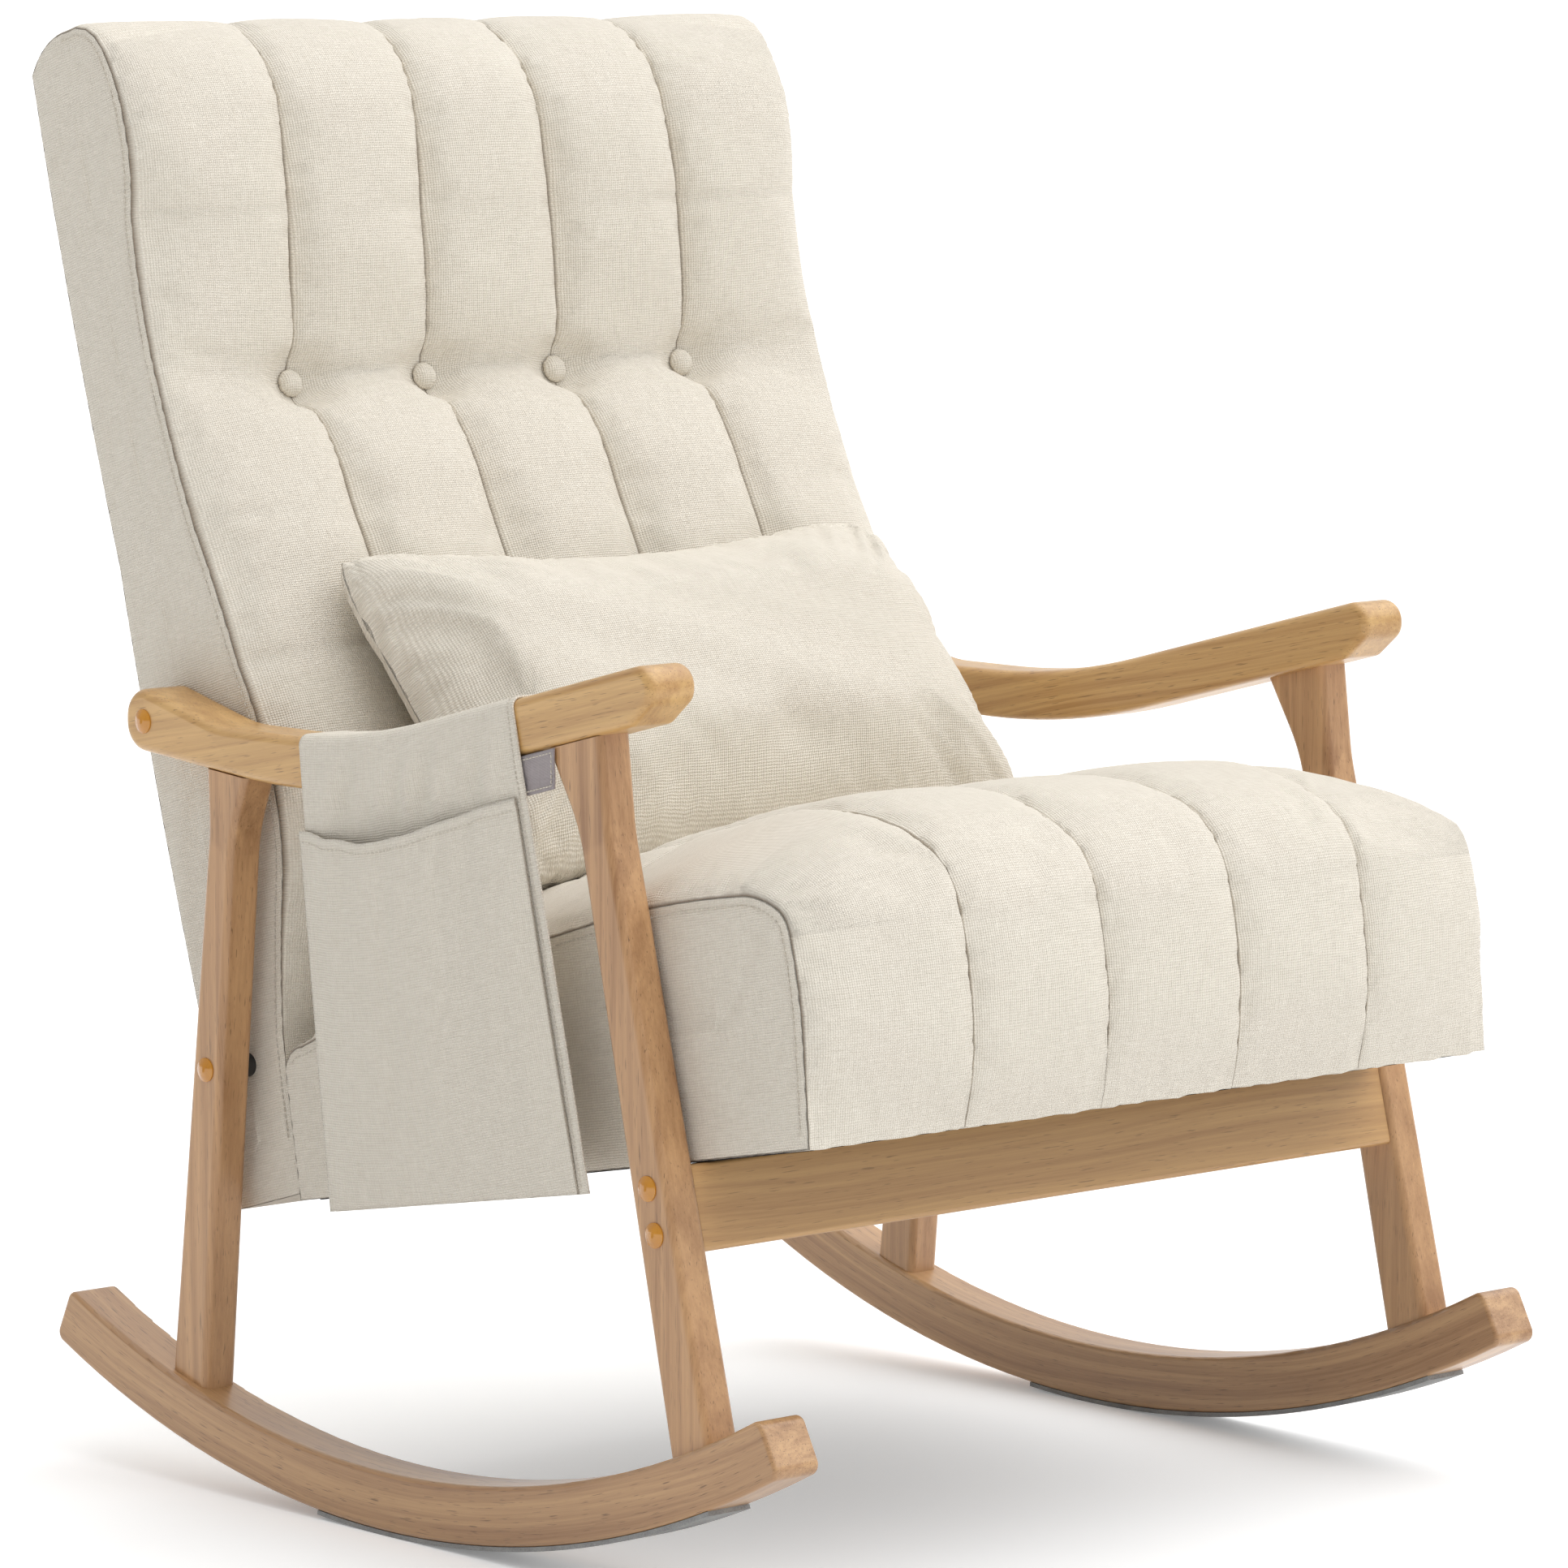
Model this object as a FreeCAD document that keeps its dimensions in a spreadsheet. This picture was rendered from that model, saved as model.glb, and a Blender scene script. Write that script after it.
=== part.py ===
import FreeCAD, Part
import math
import os
from types import SimpleNamespace

import Sketcher
from FreeCAD import Placement, Rotation, Vector

# Upholstered rocking chair. The sitter faces -Y, +Z is up, and the sitter's right side is -X.
# The origin is on the floor, straight below the centre of the rockers' arc.

# Driving sizes in millimetres and degrees
SIZES = {
    # rockers, bent on one centre, with a felt strip under the part that meets the floor
    "rocker_radius": 810.0,
    "rocker_depth": 38.0,
    "rocker_width": 36.5,
    "rocker_inner": 300.0,
    "rocker_front_angle": 27.7,
    "rocker_rear_angle": 25.3,
    "rocker_edge_round": 3.0,
    "rocker_end_round": 7.0,
    "felt_thick": 3.0,
    "felt_margin": 1.2,
    "felt_front_angle": 22.6,
    "felt_rear_angle": 4.8,
    # legs: outlines in Y and Z, cut out of one board
    "leg_inner": 303.5,
    "leg_thick": 26.0,
    "leg_edge_round": 5.0,
    "front_leg_foot_front": 306.0,
    "front_leg_foot_width": 38.5,
    "front_leg_foot_height": 100.0,
    "front_leg_neck_front": 225.0,
    "front_leg_neck_width": 30.0,
    "front_leg_neck_height": 422.0,
    "front_leg_flare_height": 470.0,
    "front_leg_head_front": 206.0,
    "front_leg_head_width": 50.0,
    "leg_flare_round": 110.0,
    "leg_foot_spare": 30.0,
    "rear_leg_foot_rear": 228.5,
    "rear_leg_foot_width": 36.0,
    "rear_leg_foot_height": 70.0,
    "rear_leg_neck_rear": 189.0,
    "rear_leg_neck_width": 27.0,
    "rear_leg_neck_height": 405.0,
    "rear_leg_flare_height": 436.0,
    "rear_leg_head_rear": 187.0,
    "rear_leg_head_width": 43.0,
    # arms: a board that slopes up to the front, dips, and ends in a round boss at the rear
    "arm_inner": 293.0,
    "arm_width": 39.0,
    "arm_edge_round": 6.0,
    "arm_nose_front": 256.0,
    "arm_nose_top_height": 579.0,
    "arm_nose_face": 25.0,
    "arm_nose_chin": 20.0,
    "arm_nose_top_round": 14.0,
    "arm_nose_round": 12.0,
    "arm_chin_round": 8.0,
    "arm_chin_height": 537.3,
    "arm_under_slope": 14.2,
    "arm_under_rear_slope": 4.8,
    "arm_top_slope": 14.3,
    "arm_top_flat_height": 504.5,
    "arm_dip_round": 600.0,
    "arm_rise_start": 172.0,
    "arm_rise_round": 110.0,
    "arm_rear_end": 270.0,
    "arm_rear_top": 528.0,
    "arm_rear_bottom": 483.3,
    "arm_rear_round": 19.0,
    # front rail between the front legs
    "rail_height": 55.0,
    "rail_thick": 24.0,
    "rail_set_back": 3.0,
    "rail_edge_round": 3.0,
    # bolts, caps, dowels
    "bolt_radius": 3.0,
    "bolt_head_radius": 5.0,
    "bolt_head_height": 5.0,
    "bolt_socket_radius": 2.4,
    "bolt_socket_depth": 3.0,
    "bolt_clearance": 0.3,
    "thread_clearance": 0.1,
    "washer_radius": 6.8,
    "washer_thick": 1.4,
    "cap_radius": 8.0,
    "cap_plug_radius": 7.2,
    "cap_rim_height": 0.8,
    "cap_dome_height": 2.2,
    "cap_plug_depth": 3.0,
    "counterbore_radius": 7.5,
    "counterbore_depth": 10.0,
    "leg_bolt_length": 58.0,
    "rear_bolt_length": 48.0,
    "arm_bolt_length": 52.0,
    "rail_bolt_upper_height": 255.0,
    "rail_bolt_lower_height": 227.0,
    "rear_bolt_height": 278.0,
    "arm_bolt_rear": 249.0,
    "arm_bolt_height": 502.0,
    "barrel_nut_radius": 5.0,
    "barrel_nut_length": 15.0,
    "spacer_radius": 8.0,
    "insert_radius": 5.0,
    "insert_length": 15.0,
    "dowel_radius": 4.0,
    "dowel_length": 34.0,
    "dowel_spread": 15.0,
    "dowel_clearance": 0.1,
    "dowel_end_gap": 0.5,
    # seat unit, in its own frame: forward along the bottom, up from it
    "seat_half_width": 298.0,
    "seat_tilt": 10.8,
    "seat_rear": 130.0,
    "seat_rear_height": 195.5,
    "seat_length": 501.0,
    "seat_side_height": 157.0,
    "seat_middle_height": 202.0,
    "seat_channel_crown": 7.0,
    "seam_inner": 58.0,
    "seam_outer": 174.0,
    "cover_thick": 1.5,
    "pad_gap": 0.3,
    "seat_board_thick": 20.0,
    "seat_board_height": 45.0,
    "seat_frame_inset": 14.0,
    "seat_block_width": 32.0,
    "seat_block_height": 28.0,
    "seat_cross_width": 40.0,
    "seat_cross_height": 34.0,
    "webbing_thick": 2.0,
    "webbing_width": 50.0,
    "webbing_pitch": 132.0,
    "cross_webbing_pitch": 120.0,
    "dust_cover_thick": 0.8,
    "dust_cover_inset": 9.0,
    "cover_hem": 24.0,
    # back unit, in its own frame: up along the rear face, forward from it
    "back_half_width": 292.7,
    "back_lean": 16.3,
    "back_rear": 200.0,
    "back_rear_height": 180.0,
    "back_length": 788.0,
    "back_depth": 88.5,
    "back_channel_crown": 14.0,
    "back_button_height": 539.0,
    "back_button_depth": 60.0,
    "back_stile_thick": 20.0,
    "back_stile_depth": 48.0,
    "back_frame_inset": 5.0,
    "back_stile_set_in": 2.5,
    "back_stile_foot": 12.0,
    "back_stile_height": 730.0,
    "back_rail_depth": 26.0,
    "back_rail_height": 56.0,
    "back_rail_rear": 12.0,
    "back_foot_rail_rise": 0.0,
    "button_radius": 9.5,
    "button_height": 6.5,
    "button_rim": 2.0,
    "dimple_radius": 30.0,
    "dimple_depth": 3.0,
    "twine_radius": 0.8,
    "rear_panel_margin": 11.0,
    # joint bolts between seat and back, and seat screws in the front rail
    "unit_bolt_radius": 4.0,
    "unit_bolt_spread": 180.0,
    "unit_bolt_rise": 28.0,
    "unit_bolt_head_radius": 6.5,
    "unit_bolt_head_height": 6.0,
    "unit_bolt_reach": 60.0,
    "rail_screw_radius": 2.5,
    "rail_screw_head_radius": 5.0,
    "rail_screw_head_height": 3.0,
    "rail_screw_bite": 26.0,
    "rail_screw_sink": 14.0,
    "rail_screw_spread": 150.0,
    # loose lumbar pillow
    "pillow_half_width": 234.0,
    "pillow_height": 284.0,
    "pillow_front_crown": 66.0,
    "pillow_rear_crown": 40.0,
    "pillow_edge": 4.0,
    "pillow_cover_thick": 0.9,
    "pillow_draw_in": 22.0,
    "pillow_lean": 41.0,
    "pillow_side_draw_in": 8.0,
    "pillow_slot_length": 360.0,
    "pillow_slot_width": 1.0,
    "pillow_rest_gap": 0.5,
    "pillow_retreat": 1.5,
    "pillow_start_rise": 60.0,
    # arm pocket on the sitter's right
    "cloth_thick": 1.6,
    "pocket_top_rear": 84.0,
    "pocket_top_front": -127.0,
    "pocket_bottom_rear": 48.0,
    "pocket_bottom_front": -200.0,
    "pocket_bottom_rear_height": 203.0,
    "pocket_bottom_front_height": 246.0,
    "pocket_mouth_drop": 60.0,
    "pocket_mouth_sag": 9.0,
    "pocket_mouth_open": 12.0,
    "pocket_flap_length": 30.0,
    "pocket_belly": 11.0,
    "pocket_fold": 2.0,
    "strap_start": 110.0,
    "strap_under_length": 41.0,
    "strap_length": 57.0,
    "strap_tab_height": 26.0,
    "strap_inner_rise": 20.0,
    "strap_thick": 1.0,
    # one overrun for every cut
    "overrun": 1.0,
}


# Outlines of the seat and back, going round from the lower rear corner. Each row is a corner
# and the middle of the arc that leaves it, or None for a straight side, as shares of the unit's
# length and height, and the share of the channels' crown that the corner takes.
# seat at its side seams: shares of seat_length and seat_side_height
SEAT_SIDE_SHARES = [
    ((0.0000, 0.0000), None),
    ((1.0000, 0.0000), (1.0070, 0.2102)),
    ((1.0140, 0.4268), (1.0170, 0.6306)),
    ((1.0140, 0.8153), (1.0100, 0.8790)),
    ((1.0000, 0.9236), (0.9681, 0.9777)),
    ((0.9321, 1.0000), (0.7784, 1.0032)),
    ((0.6287, 0.9618), (0.4291, 0.8758)),
    ((0.2196, 0.7452), (0.1257, 0.6930)),
    ((0.0419, 0.6306), (0.0160, 0.6051)),
    ((0.0020, 0.5414), None),
]
# seat at a channel's seam: shares of seat_length and seat_middle_height
SEAT_CHANNEL_SHARES = [
    ((0.0000, 0.0000), None, 0),
    ((1.0100, 0.0000), (1.0319, 0.1535), 0),
    ((1.0459, 0.3168), (1.0499, 0.4802), 0.9),
    ((1.0479, 0.6287), (1.0369, 0.7525), 1),
    ((1.0100, 0.8416), (0.9541, 0.9257), 1),
    ((0.8743, 0.9851), (0.7425, 1.0000), 1),
    ((0.5988, 0.9678), (0.3992, 0.9109), 1),
    ((0.2196, 0.8317), (0.1238, 0.7723), 1),
    ((0.0559, 0.6683), (0.0329, 0.5792), 0.7),
    ((0.0040, 0.4653), None, 0),
]
# back at its side seams: shares of back_depth and back_length
BACK_SIDE_SHARES = [
    ((0.0000, 0.0000), None),
    ((0.7763, 0.0000), (0.8136, 0.0635)),
    ((0.8870, 0.1320), (1.0169, 0.1878)),
    ((1.1751, 0.2411), (1.2825, 0.2817)),
    ((1.3220, 0.3312), (1.2712, 0.3871)),
    ((1.1638, 0.4378), (1.0734, 0.4975)),
    ((0.9492, 0.5584), (0.8701, 0.6218)),
    ((0.8249, 0.6840), (0.8136, 0.7614)),
    ((0.8814, 0.8312), (0.9718, 0.8680)),
    ((1.0000, 0.9086), (0.9785, 0.9416)),
    ((0.8994, 0.9734), (0.7458, 0.9949)),
    ((0.5085, 1.0000), (0.2034, 0.9949)),
    ((0.0000, 0.9772), (-0.0565, 0.7614)),
    ((-0.0339, 0.5495), (-0.0791, 0.2919)),
]
# back at a channel's seam: shares of back_depth and back_length
BACK_CHANNEL_SHARES = [
    ((0.0000, 0.0000), None, 0),
    ((0.7763, 0.0000), (0.8136, 0.0635), 0),
    ((0.8870, 0.1320), (1.1073, 0.1777), 0),
    ((1.3446, 0.2411), (1.4520, 0.2817), 0.85),
    ((1.4915, 0.3312), (1.4407, 0.3909), 1),
    ((1.3333, 0.4378), (1.2542, 0.4975), 1),
    ((1.1299, 0.5647), (0.9718, 0.6345), 1),
    ((0.6780, 0.6840), (0.8588, 0.7500), 0.85),
    ((0.9831, 0.8249), (1.0452, 0.8655), 1.05),
    ((1.0689, 0.9086), (0.9887, 0.9543), 1),
    ((0.7458, 0.9898), (0.6328, 0.9975), 0.5),
    ((0.5085, 1.0000), (0.2034, 0.9949), 0.15),
    ((0.0000, 0.9772), (-0.0565, 0.7614), 0),
    ((-0.0339, 0.5495), (-0.0791, 0.2919), 0),
]

# Pillow stations: share of its half width, share of its draw-in, share of its crowns
PILLOW_SHARES = [(-1, 0, 0.03), (-0.9, 0.2, 0.36), (-0.62, 0.62, 0.82), (0, 1, 1),
                 (0.62, 0.62, 0.82), (0.9, 0.2, 0.36), (1, 0, 0.03)]
# Pocket stations from rear to front: place, fold of the hanging cloth, opening of the mouth,
# sag of the mouth and belly of the front panel, all as shares
POCKET_SHARES = [
    (0, 0.1, 0.02, 0.0, 0.02),
    (0.16, 1.0, 0.5, 0.45, 0.5),
    (0.34, 0.2, 0.95, 0.9, 0.85),
    (0.5, 0.9, 0.85, 0.8, 1.0),
    (0.67, 0.15, 0.55, 0.45, 0.9),
    (0.84, 0.8, 0.25, 0.15, 0.55),
    (1, 0.1, 0.02, 0.0, 0.02),
]

# Front edge of the back's stiles from foot to top: shares of back_depth and back_length
STILE_SHARES = [
    (0.5706, 0.1396), (1.0169, 0.2602), (1.0169, 0.4378),
    (0.5706, 0.5964), (0.5706, 0.7614), (0.7458, 0.8439)]
# Webbing of the back: side of the stile's front edge that it lies on, and its place on the back's
# length as a share
STRIP_SHARES = [(0, 0.0952), (2, 0.2982), (2, 0.4010), (4, 0.6320), (4, 0.7275), (6, 0.8883)]

os.makedirs("parts", exist_ok=True)
doc = FreeCAD.newDocument("rocking_chair")
sheet = doc.addObject("Spreadsheet::Sheet", "Sizes")
for row, (name, number) in enumerate(SIZES.items(), start=1):
    sheet.set(f"A{row}", name)
    sheet.set(f"B{row}", str(number))
    sheet.setAlias(f"B{row}", name)
doc.recompute()
size = SimpleNamespace(**{name: float(sheet.get(name)) for name in SIZES})

AXIS_X = Vector(1, 0, 0)
AXIS_Y = Vector(0, 1, 0)
AXIS_Z = Vector(0, 0, 1)
SIDES = {"right": -1, "left": 1}
pieces = {}


def named(expression):
    """Writes Sizes. before each name of the sheet, so that expressions stay short to read."""
    words = []
    word = ""
    for letter in expression + " ":
        if letter.isalnum() or letter == "_":
            word += letter
            continue
        words.append(f"Sizes.{word}" if word in SIZES else word)
        words.append(letter)
        word = ""
    return "".join(words).strip()


def value(expression):
    """The number that an expression on the sheet gives."""
    return float(sheet.evalExpression(expression))


def bind(piece, **expressions):
    """Binds properties to expressions on the sheet. Two underscores stand for a dot."""
    for target, expression in expressions.items():
        piece.setExpression(target.replace("__", "."), named(expression))


def keep(piece, label):
    """Names a finished piece, which becomes one file."""
    piece.Label = label
    pieces[label] = piece
    return piece


def origin_plane(body, role):
    return next(feature for feature in body.Origin.OriginFeatures if feature.Role == role)


def lean_back(piece, y, z, angle):
    """Puts a piece into the frame of the seat or back: moved, and turned backwards about X."""
    piece.Placement = Placement(Vector(0, 0, 0), Rotation(-AXIS_X, value(angle)))
    bind(piece, Placement__Base__y=y, Placement__Base__z=z, Placement__Rotation__Angle=angle)


# Sketches
def outline_sketch(body, corners, start):
    """A closed outline in Y and Z with rounded corners. Each corner is (y, z, radius or None),
    all of them expressions, and start is the plane's place in X."""
    sketch = body.newObject("Sketcher::SketchObject", "Outline")
    sketch.AttachmentSupport = [(origin_plane(body, "YZ_Plane"), "")]
    sketch.MapMode = "FlatFace"
    bind(sketch, AttachmentOffset__Base__z=start)
    points = [Vector(value(y), value(z), 0) for y, z, _ in corners]
    radii = [value(radius) if radius else 0.0 for _, _, radius in corners]
    count = len(points)
    trims = []
    for i in range(count):
        before = (points[i - 1] - points[i]).normalize()
        after = (points[(i + 1) % count] - points[i]).normalize()
        half = before.getAngle(after) / 2
        reach = radii[i] / math.tan(half)
        trims.append((points[i] + before * reach, points[i] + after * reach, before, after, half))
    lines = []
    for i in range(count):
        far = trims[(i + 1) % count][0]
        lines.append(sketch.addGeometry(Part.LineSegment(trims[i][1], far), False))
    for i, (y, z, radius) in enumerate(corners):
        arriving = lines[i - 1]
        leaving = lines[i]
        if not radius:
            sketch.addConstraint(Sketcher.Constraint("Coincident", arriving, 2, leaving, 1))
            place_point(sketch, leaving, 1, y, z, points[i])
            continue
        near, far, before, after, half = trims[i]
        centre = points[i] + (before + after).normalize() * (radii[i] / math.sin(half))
        circle = Part.Circle(centre, AXIS_Z, radii[i])
        angles = [math.atan2(end.y - centre.y, end.x - centre.x) for end in (near, far)]
        turns_left = before.cross(after).z < 0
        if turns_left:
            arc = sketch.addGeometry(Part.ArcOfCircle(circle, angles[0], angles[1]), False)
            first, last = 1, 2
        else:
            arc = sketch.addGeometry(Part.ArcOfCircle(circle, angles[1], angles[0]), False)
            first, last = 2, 1
        sketch.addConstraint(Sketcher.Constraint("Tangent", arriving, 2, arc, first))
        sketch.addConstraint(Sketcher.Constraint("Tangent", arc, last, leaving, 1))
        bend = sketch.addConstraint(Sketcher.Constraint("Radius", arc, radii[i]))
        sketch.setExpression(f"Constraints[{bend}]", named(radius))
        mark = sketch.addGeometry(Part.Point(points[i]), True)
        sketch.addConstraint(Sketcher.Constraint("PointOnObject", mark, 1, arriving))
        sketch.addConstraint(Sketcher.Constraint("PointOnObject", mark, 1, leaving))
        place_point(sketch, mark, 1, y, z, points[i])
    return sketch


def place_point(sketch, geometry, end, y, z, point):
    """Fixes a point of a sketch to two expressions, measured from the origin."""
    for kind, expression, distance in (("DistanceX", y, point.x), ("DistanceY", z, point.y)):
        place = sketch.addConstraint(Sketcher.Constraint(kind, -1, 1, geometry, end, distance))
        sketch.setExpression(f"Constraints[{place}]", named(expression))


def board(label, corners, start, thick):
    """A board cut to an outline in Y and Z."""
    body = doc.addObject("PartDesign::Body", label)
    sketch = outline_sketch(body, corners, start)
    pad = body.newObject("PartDesign::Pad", "Thickness")
    pad.Profile = sketch
    bind(pad, Length=thick)
    body.Tip = pad
    doc.recompute()
    return body


def rounded(body, radius, wanted):
    """Rounds the edges of a body's tip that the given test picks."""
    tip = body.Tip
    names = [f"Edge{i}" for i, edge in enumerate(tip.Shape.Edges, start=1) if wanted(edge)]
    fillet = body.newObject("PartDesign::Fillet", "Rounding")
    fillet.Base = (tip, names)
    bind(fillet, Radius=radius)
    body.Tip = fillet
    doc.recompute()
    return body


def flat_in_x(edge):
    """True for the edges that run round one face of a board."""
    return edge.BoundBox.XLength < TINY


def in_one(label, *shapes):
    """Several equal small pieces as one part."""
    together = doc.addObject("Part::Compound", label)
    together.Links = list(shapes)
    doc.recompute()
    return keep(together, label)


def joined(label, *shapes):
    union = doc.addObject("Part::MultiFuse", label)
    union.Shapes = list(shapes)
    union.Refine = True
    return union


def cut(label, piece, *tools):
    """A piece less its tools."""
    tool = joined(label + "_tools", *tools) if len(tools) > 1 else tools[0]
    left_over = doc.addObject("Part::Cut", label + "_cut")
    left_over.Base = piece
    left_over.Tool = tool
    doc.recompute()
    return left_over


def round_bar(label, radius, length, x="0", y="0", z="0", axis=AXIS_Z, turn=None):
    """A cylinder from the given point along an axis. turn is an angle for a bar in a leaning frame."""
    bar = doc.addObject("Part::Cylinder", label)
    bar.Placement = Placement(Vector(0, 0, 0), Rotation(AXIS_Z, axis))
    bind(bar, Radius=radius, Height=length, Placement__Base__x=x, Placement__Base__y=y,
         Placement__Base__z=z)
    return bar


TINY = 1e-6

# Places along the boards as expressions in Y (forward is negative) and Z
ROCKER_CENTRE = "(rocker_radius + felt_thick)"
ARM_UNDER = "(arm_chin_height - tan(arm_under_slope) * ({} + arm_nose_front - arm_nose_chin))"
ARM_UNDER_REAR = "(arm_rear_bottom - tan(arm_under_rear_slope) * (arm_rear_end - {}))"
ARM_DIP = ("((arm_chin_height + tan(arm_under_slope) * (arm_nose_chin - arm_nose_front)"
           " - arm_rear_bottom + tan(arm_under_rear_slope) * arm_rear_end)"
           " / (tan(arm_under_slope) + tan(arm_under_rear_slope)))")
ARM_TOP_DIP = "((arm_nose_top_height - arm_top_flat_height) / tan(arm_top_slope) - arm_nose_front)"
FRONT_SLOPE = ("((front_leg_foot_front - front_leg_neck_front)"
               " / (front_leg_neck_height - front_leg_foot_height))")
FRONT_EDGE = "(-front_leg_foot_front + " + FRONT_SLOPE + " * ({} - front_leg_foot_height))"
FRONT_TAPER = ("((front_leg_foot_width - front_leg_neck_width)"
               " / (front_leg_neck_height - front_leg_foot_height))")
FRONT_WIDTH = "(front_leg_foot_width - " + FRONT_TAPER + " * ({} - front_leg_foot_height))"
REAR_SLOPE = ("((rear_leg_foot_rear - rear_leg_neck_rear)"
              " / (rear_leg_neck_height - rear_leg_foot_height))")
REAR_EDGE = "(rear_leg_foot_rear - " + REAR_SLOPE + " * ({} - rear_leg_foot_height))"
REAR_TAPER = ("((rear_leg_foot_width - rear_leg_neck_width)"
              " / (rear_leg_neck_height - rear_leg_foot_height))")
REAR_WIDTH = "(rear_leg_foot_width - " + REAR_TAPER + " * ({} - rear_leg_foot_height))"
FRONT_FOOT = "(front_leg_foot_height - leg_foot_spare)"
REAR_FOOT = "(rear_leg_foot_height - leg_foot_spare)"
SEAT_BOTTOM = "(seat_rear_height + (seat_rear - {}) * tan(seat_tilt))"
RAIL_TOP_AT_ORIGIN = ("(seat_rear_height + seat_rear * tan(seat_tilt)"
                      " - (dust_cover_thick + 2 * pad_gap) / cos(seat_tilt))")


def place_on_side(side, inner, thick):
    """Where a board that stands on one side starts in X."""
    return inner if side > 0 else f"-{inner} - {thick}"


def rocker(side, name):
    """A bent rocker: its section turned about the arc's centre, with rounded ends and edges."""
    body = doc.addObject("PartDesign::Body", f"rocker_{name}")
    bind(body, Placement__Base__z=ROCKER_CENTRE)
    section(body, side, "rocker_inner", "rocker_width", "rocker_radius - rocker_depth",
            "rocker_radius", "rocker_front_angle", "rocker_rear_angle")
    width = size.rocker_width
    rounded(body, "rocker_end_round", lambda edge: abs(edge.BoundBox.XLength - width) < TINY)
    rounded(body, "rocker_edge_round", flat_in_x)
    return body


def section(body, side, inner, width, near, far, front_angle, rear_angle):
    """A rectangle below the arc's centre, turned forward and rearward about it."""
    sketch = body.newObject("Sketcher::SketchObject", "Section")
    sketch.AttachmentSupport = [(origin_plane(body, "XZ_Plane"), "")]
    sketch.MapMode = "FlatFace"
    left = place_on_side(side, inner, width)
    right = f"{left} + {width}"
    low = f"-({far})"
    high = f"-({near})"
    corners = [(left, low), (right, low), (right, high), (left, high)]
    points = [Vector(value(x), value(z), 0) for x, z in corners]
    for i, point in enumerate(points):
        sketch.addGeometry(Part.LineSegment(point, points[(i + 1) % len(points)]), False)
    for i in range(len(points)):
        sketch.addConstraint(Sketcher.Constraint("Coincident", i - 1 if i else 3, 2, i, 1))
        place_point(sketch, i, 1, corners[i][0], corners[i][1], points[i])
    turned = body.newObject("PartDesign::Revolution", "Arc")
    turned.Profile = sketch
    turned.ReferenceAxis = (sketch, ["H_Axis"])
    turned.Type = "TwoAngles"
    bind(turned, Angle=rear_angle, Angle2=front_angle)
    body.Tip = turned
    doc.recompute()


def felt(side, name):
    """The felt strip glued under a rocker."""
    body = doc.addObject("PartDesign::Body", f"rocker_felt_{name}")
    bind(body, Placement__Base__z=ROCKER_CENTRE)
    section(body, side, "(rocker_inner + felt_margin)", "(rocker_width - 2 * felt_margin)",
            "rocker_radius", "rocker_radius + felt_thick", "felt_front_angle", "felt_rear_angle")
    return body


def front_leg_outline():
    head_front = "(-front_leg_head_front)"
    head_rear = "(-front_leg_head_front + front_leg_head_width)"
    flare = "front_leg_flare_height"
    return [
        (FRONT_EDGE.format(FRONT_FOOT), FRONT_FOOT, None),
        (f"{FRONT_EDGE} + {FRONT_WIDTH}".replace("{}", FRONT_FOOT), FRONT_FOOT, None),
        (f"{FRONT_EDGE} + {FRONT_WIDTH}".replace("{}", flare), flare, "leg_flare_round"),
        (head_rear, ARM_UNDER.format(head_rear), None),
        (head_front, ARM_UNDER.format(head_front), None),
        (FRONT_EDGE.format(flare), flare, "leg_flare_round"),
    ]


def rear_leg_outline():
    head_rear = "rear_leg_head_rear"
    head_front = "(rear_leg_head_rear - rear_leg_head_width)"
    flare = "rear_leg_flare_height"
    return [
        (f"{REAR_EDGE} - {REAR_WIDTH}".replace("{}", REAR_FOOT), REAR_FOOT, None),
        (REAR_EDGE.format(REAR_FOOT), REAR_FOOT, None),
        (REAR_EDGE.format(flare), flare, "leg_flare_round"),
        (head_rear, ARM_UNDER_REAR.format(head_rear), None),
        (head_front, ARM_UNDER_REAR.format(head_front), None),
        (f"{REAR_EDGE} - {REAR_WIDTH}".replace("{}", flare), flare, "leg_flare_round"),
    ]


def leg(label, side, outline):
    """A leg whose foot is hollowed to sit on the rocker's upper edge."""
    body = board(label + "_board", outline, place_on_side(side, "leg_inner", "leg_thick"),
                 "leg_thick")
    rounded(body, "leg_edge_round",
            lambda edge: flat_in_x(edge) and edge.BoundBox.ZLength > edge.BoundBox.YLength)
    return body


ARM_OUTLINE = [
    ("-arm_nose_front", "arm_nose_top_height", "arm_nose_top_round"),
    ("-arm_nose_front", "arm_nose_top_height - arm_nose_face", "arm_nose_round"),
    ("-arm_nose_front + arm_nose_chin", "arm_chin_height", "arm_chin_round"),
    (ARM_DIP, ARM_UNDER.format(ARM_DIP), "arm_dip_round"),
    ("arm_rear_end", "arm_rear_bottom", "arm_rear_round"),
    ("arm_rear_end", "arm_rear_top", "arm_rear_round"),
    ("arm_rise_start", "arm_top_flat_height", "arm_rise_round"),
    (ARM_TOP_DIP, "arm_top_flat_height", "arm_dip_round"),
]


def rail_corner(drop, behind):
    """A corner of the front rail: drop below the seat's support, behind the front legs' edge."""
    level = f"({RAIL_TOP_AT_ORIGIN} - {drop})"
    y = (f"((-front_leg_foot_front + {FRONT_SLOPE} * ({level} - front_leg_foot_height)"
         f" + ({behind}) * sqrt(1 + {FRONT_SLOPE} ^ 2))"
         f" / (1 + {FRONT_SLOPE} * tan(seat_tilt)))")
    return y, f"{level} - {y} * tan(seat_tilt)", "rail_edge_round"


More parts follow.
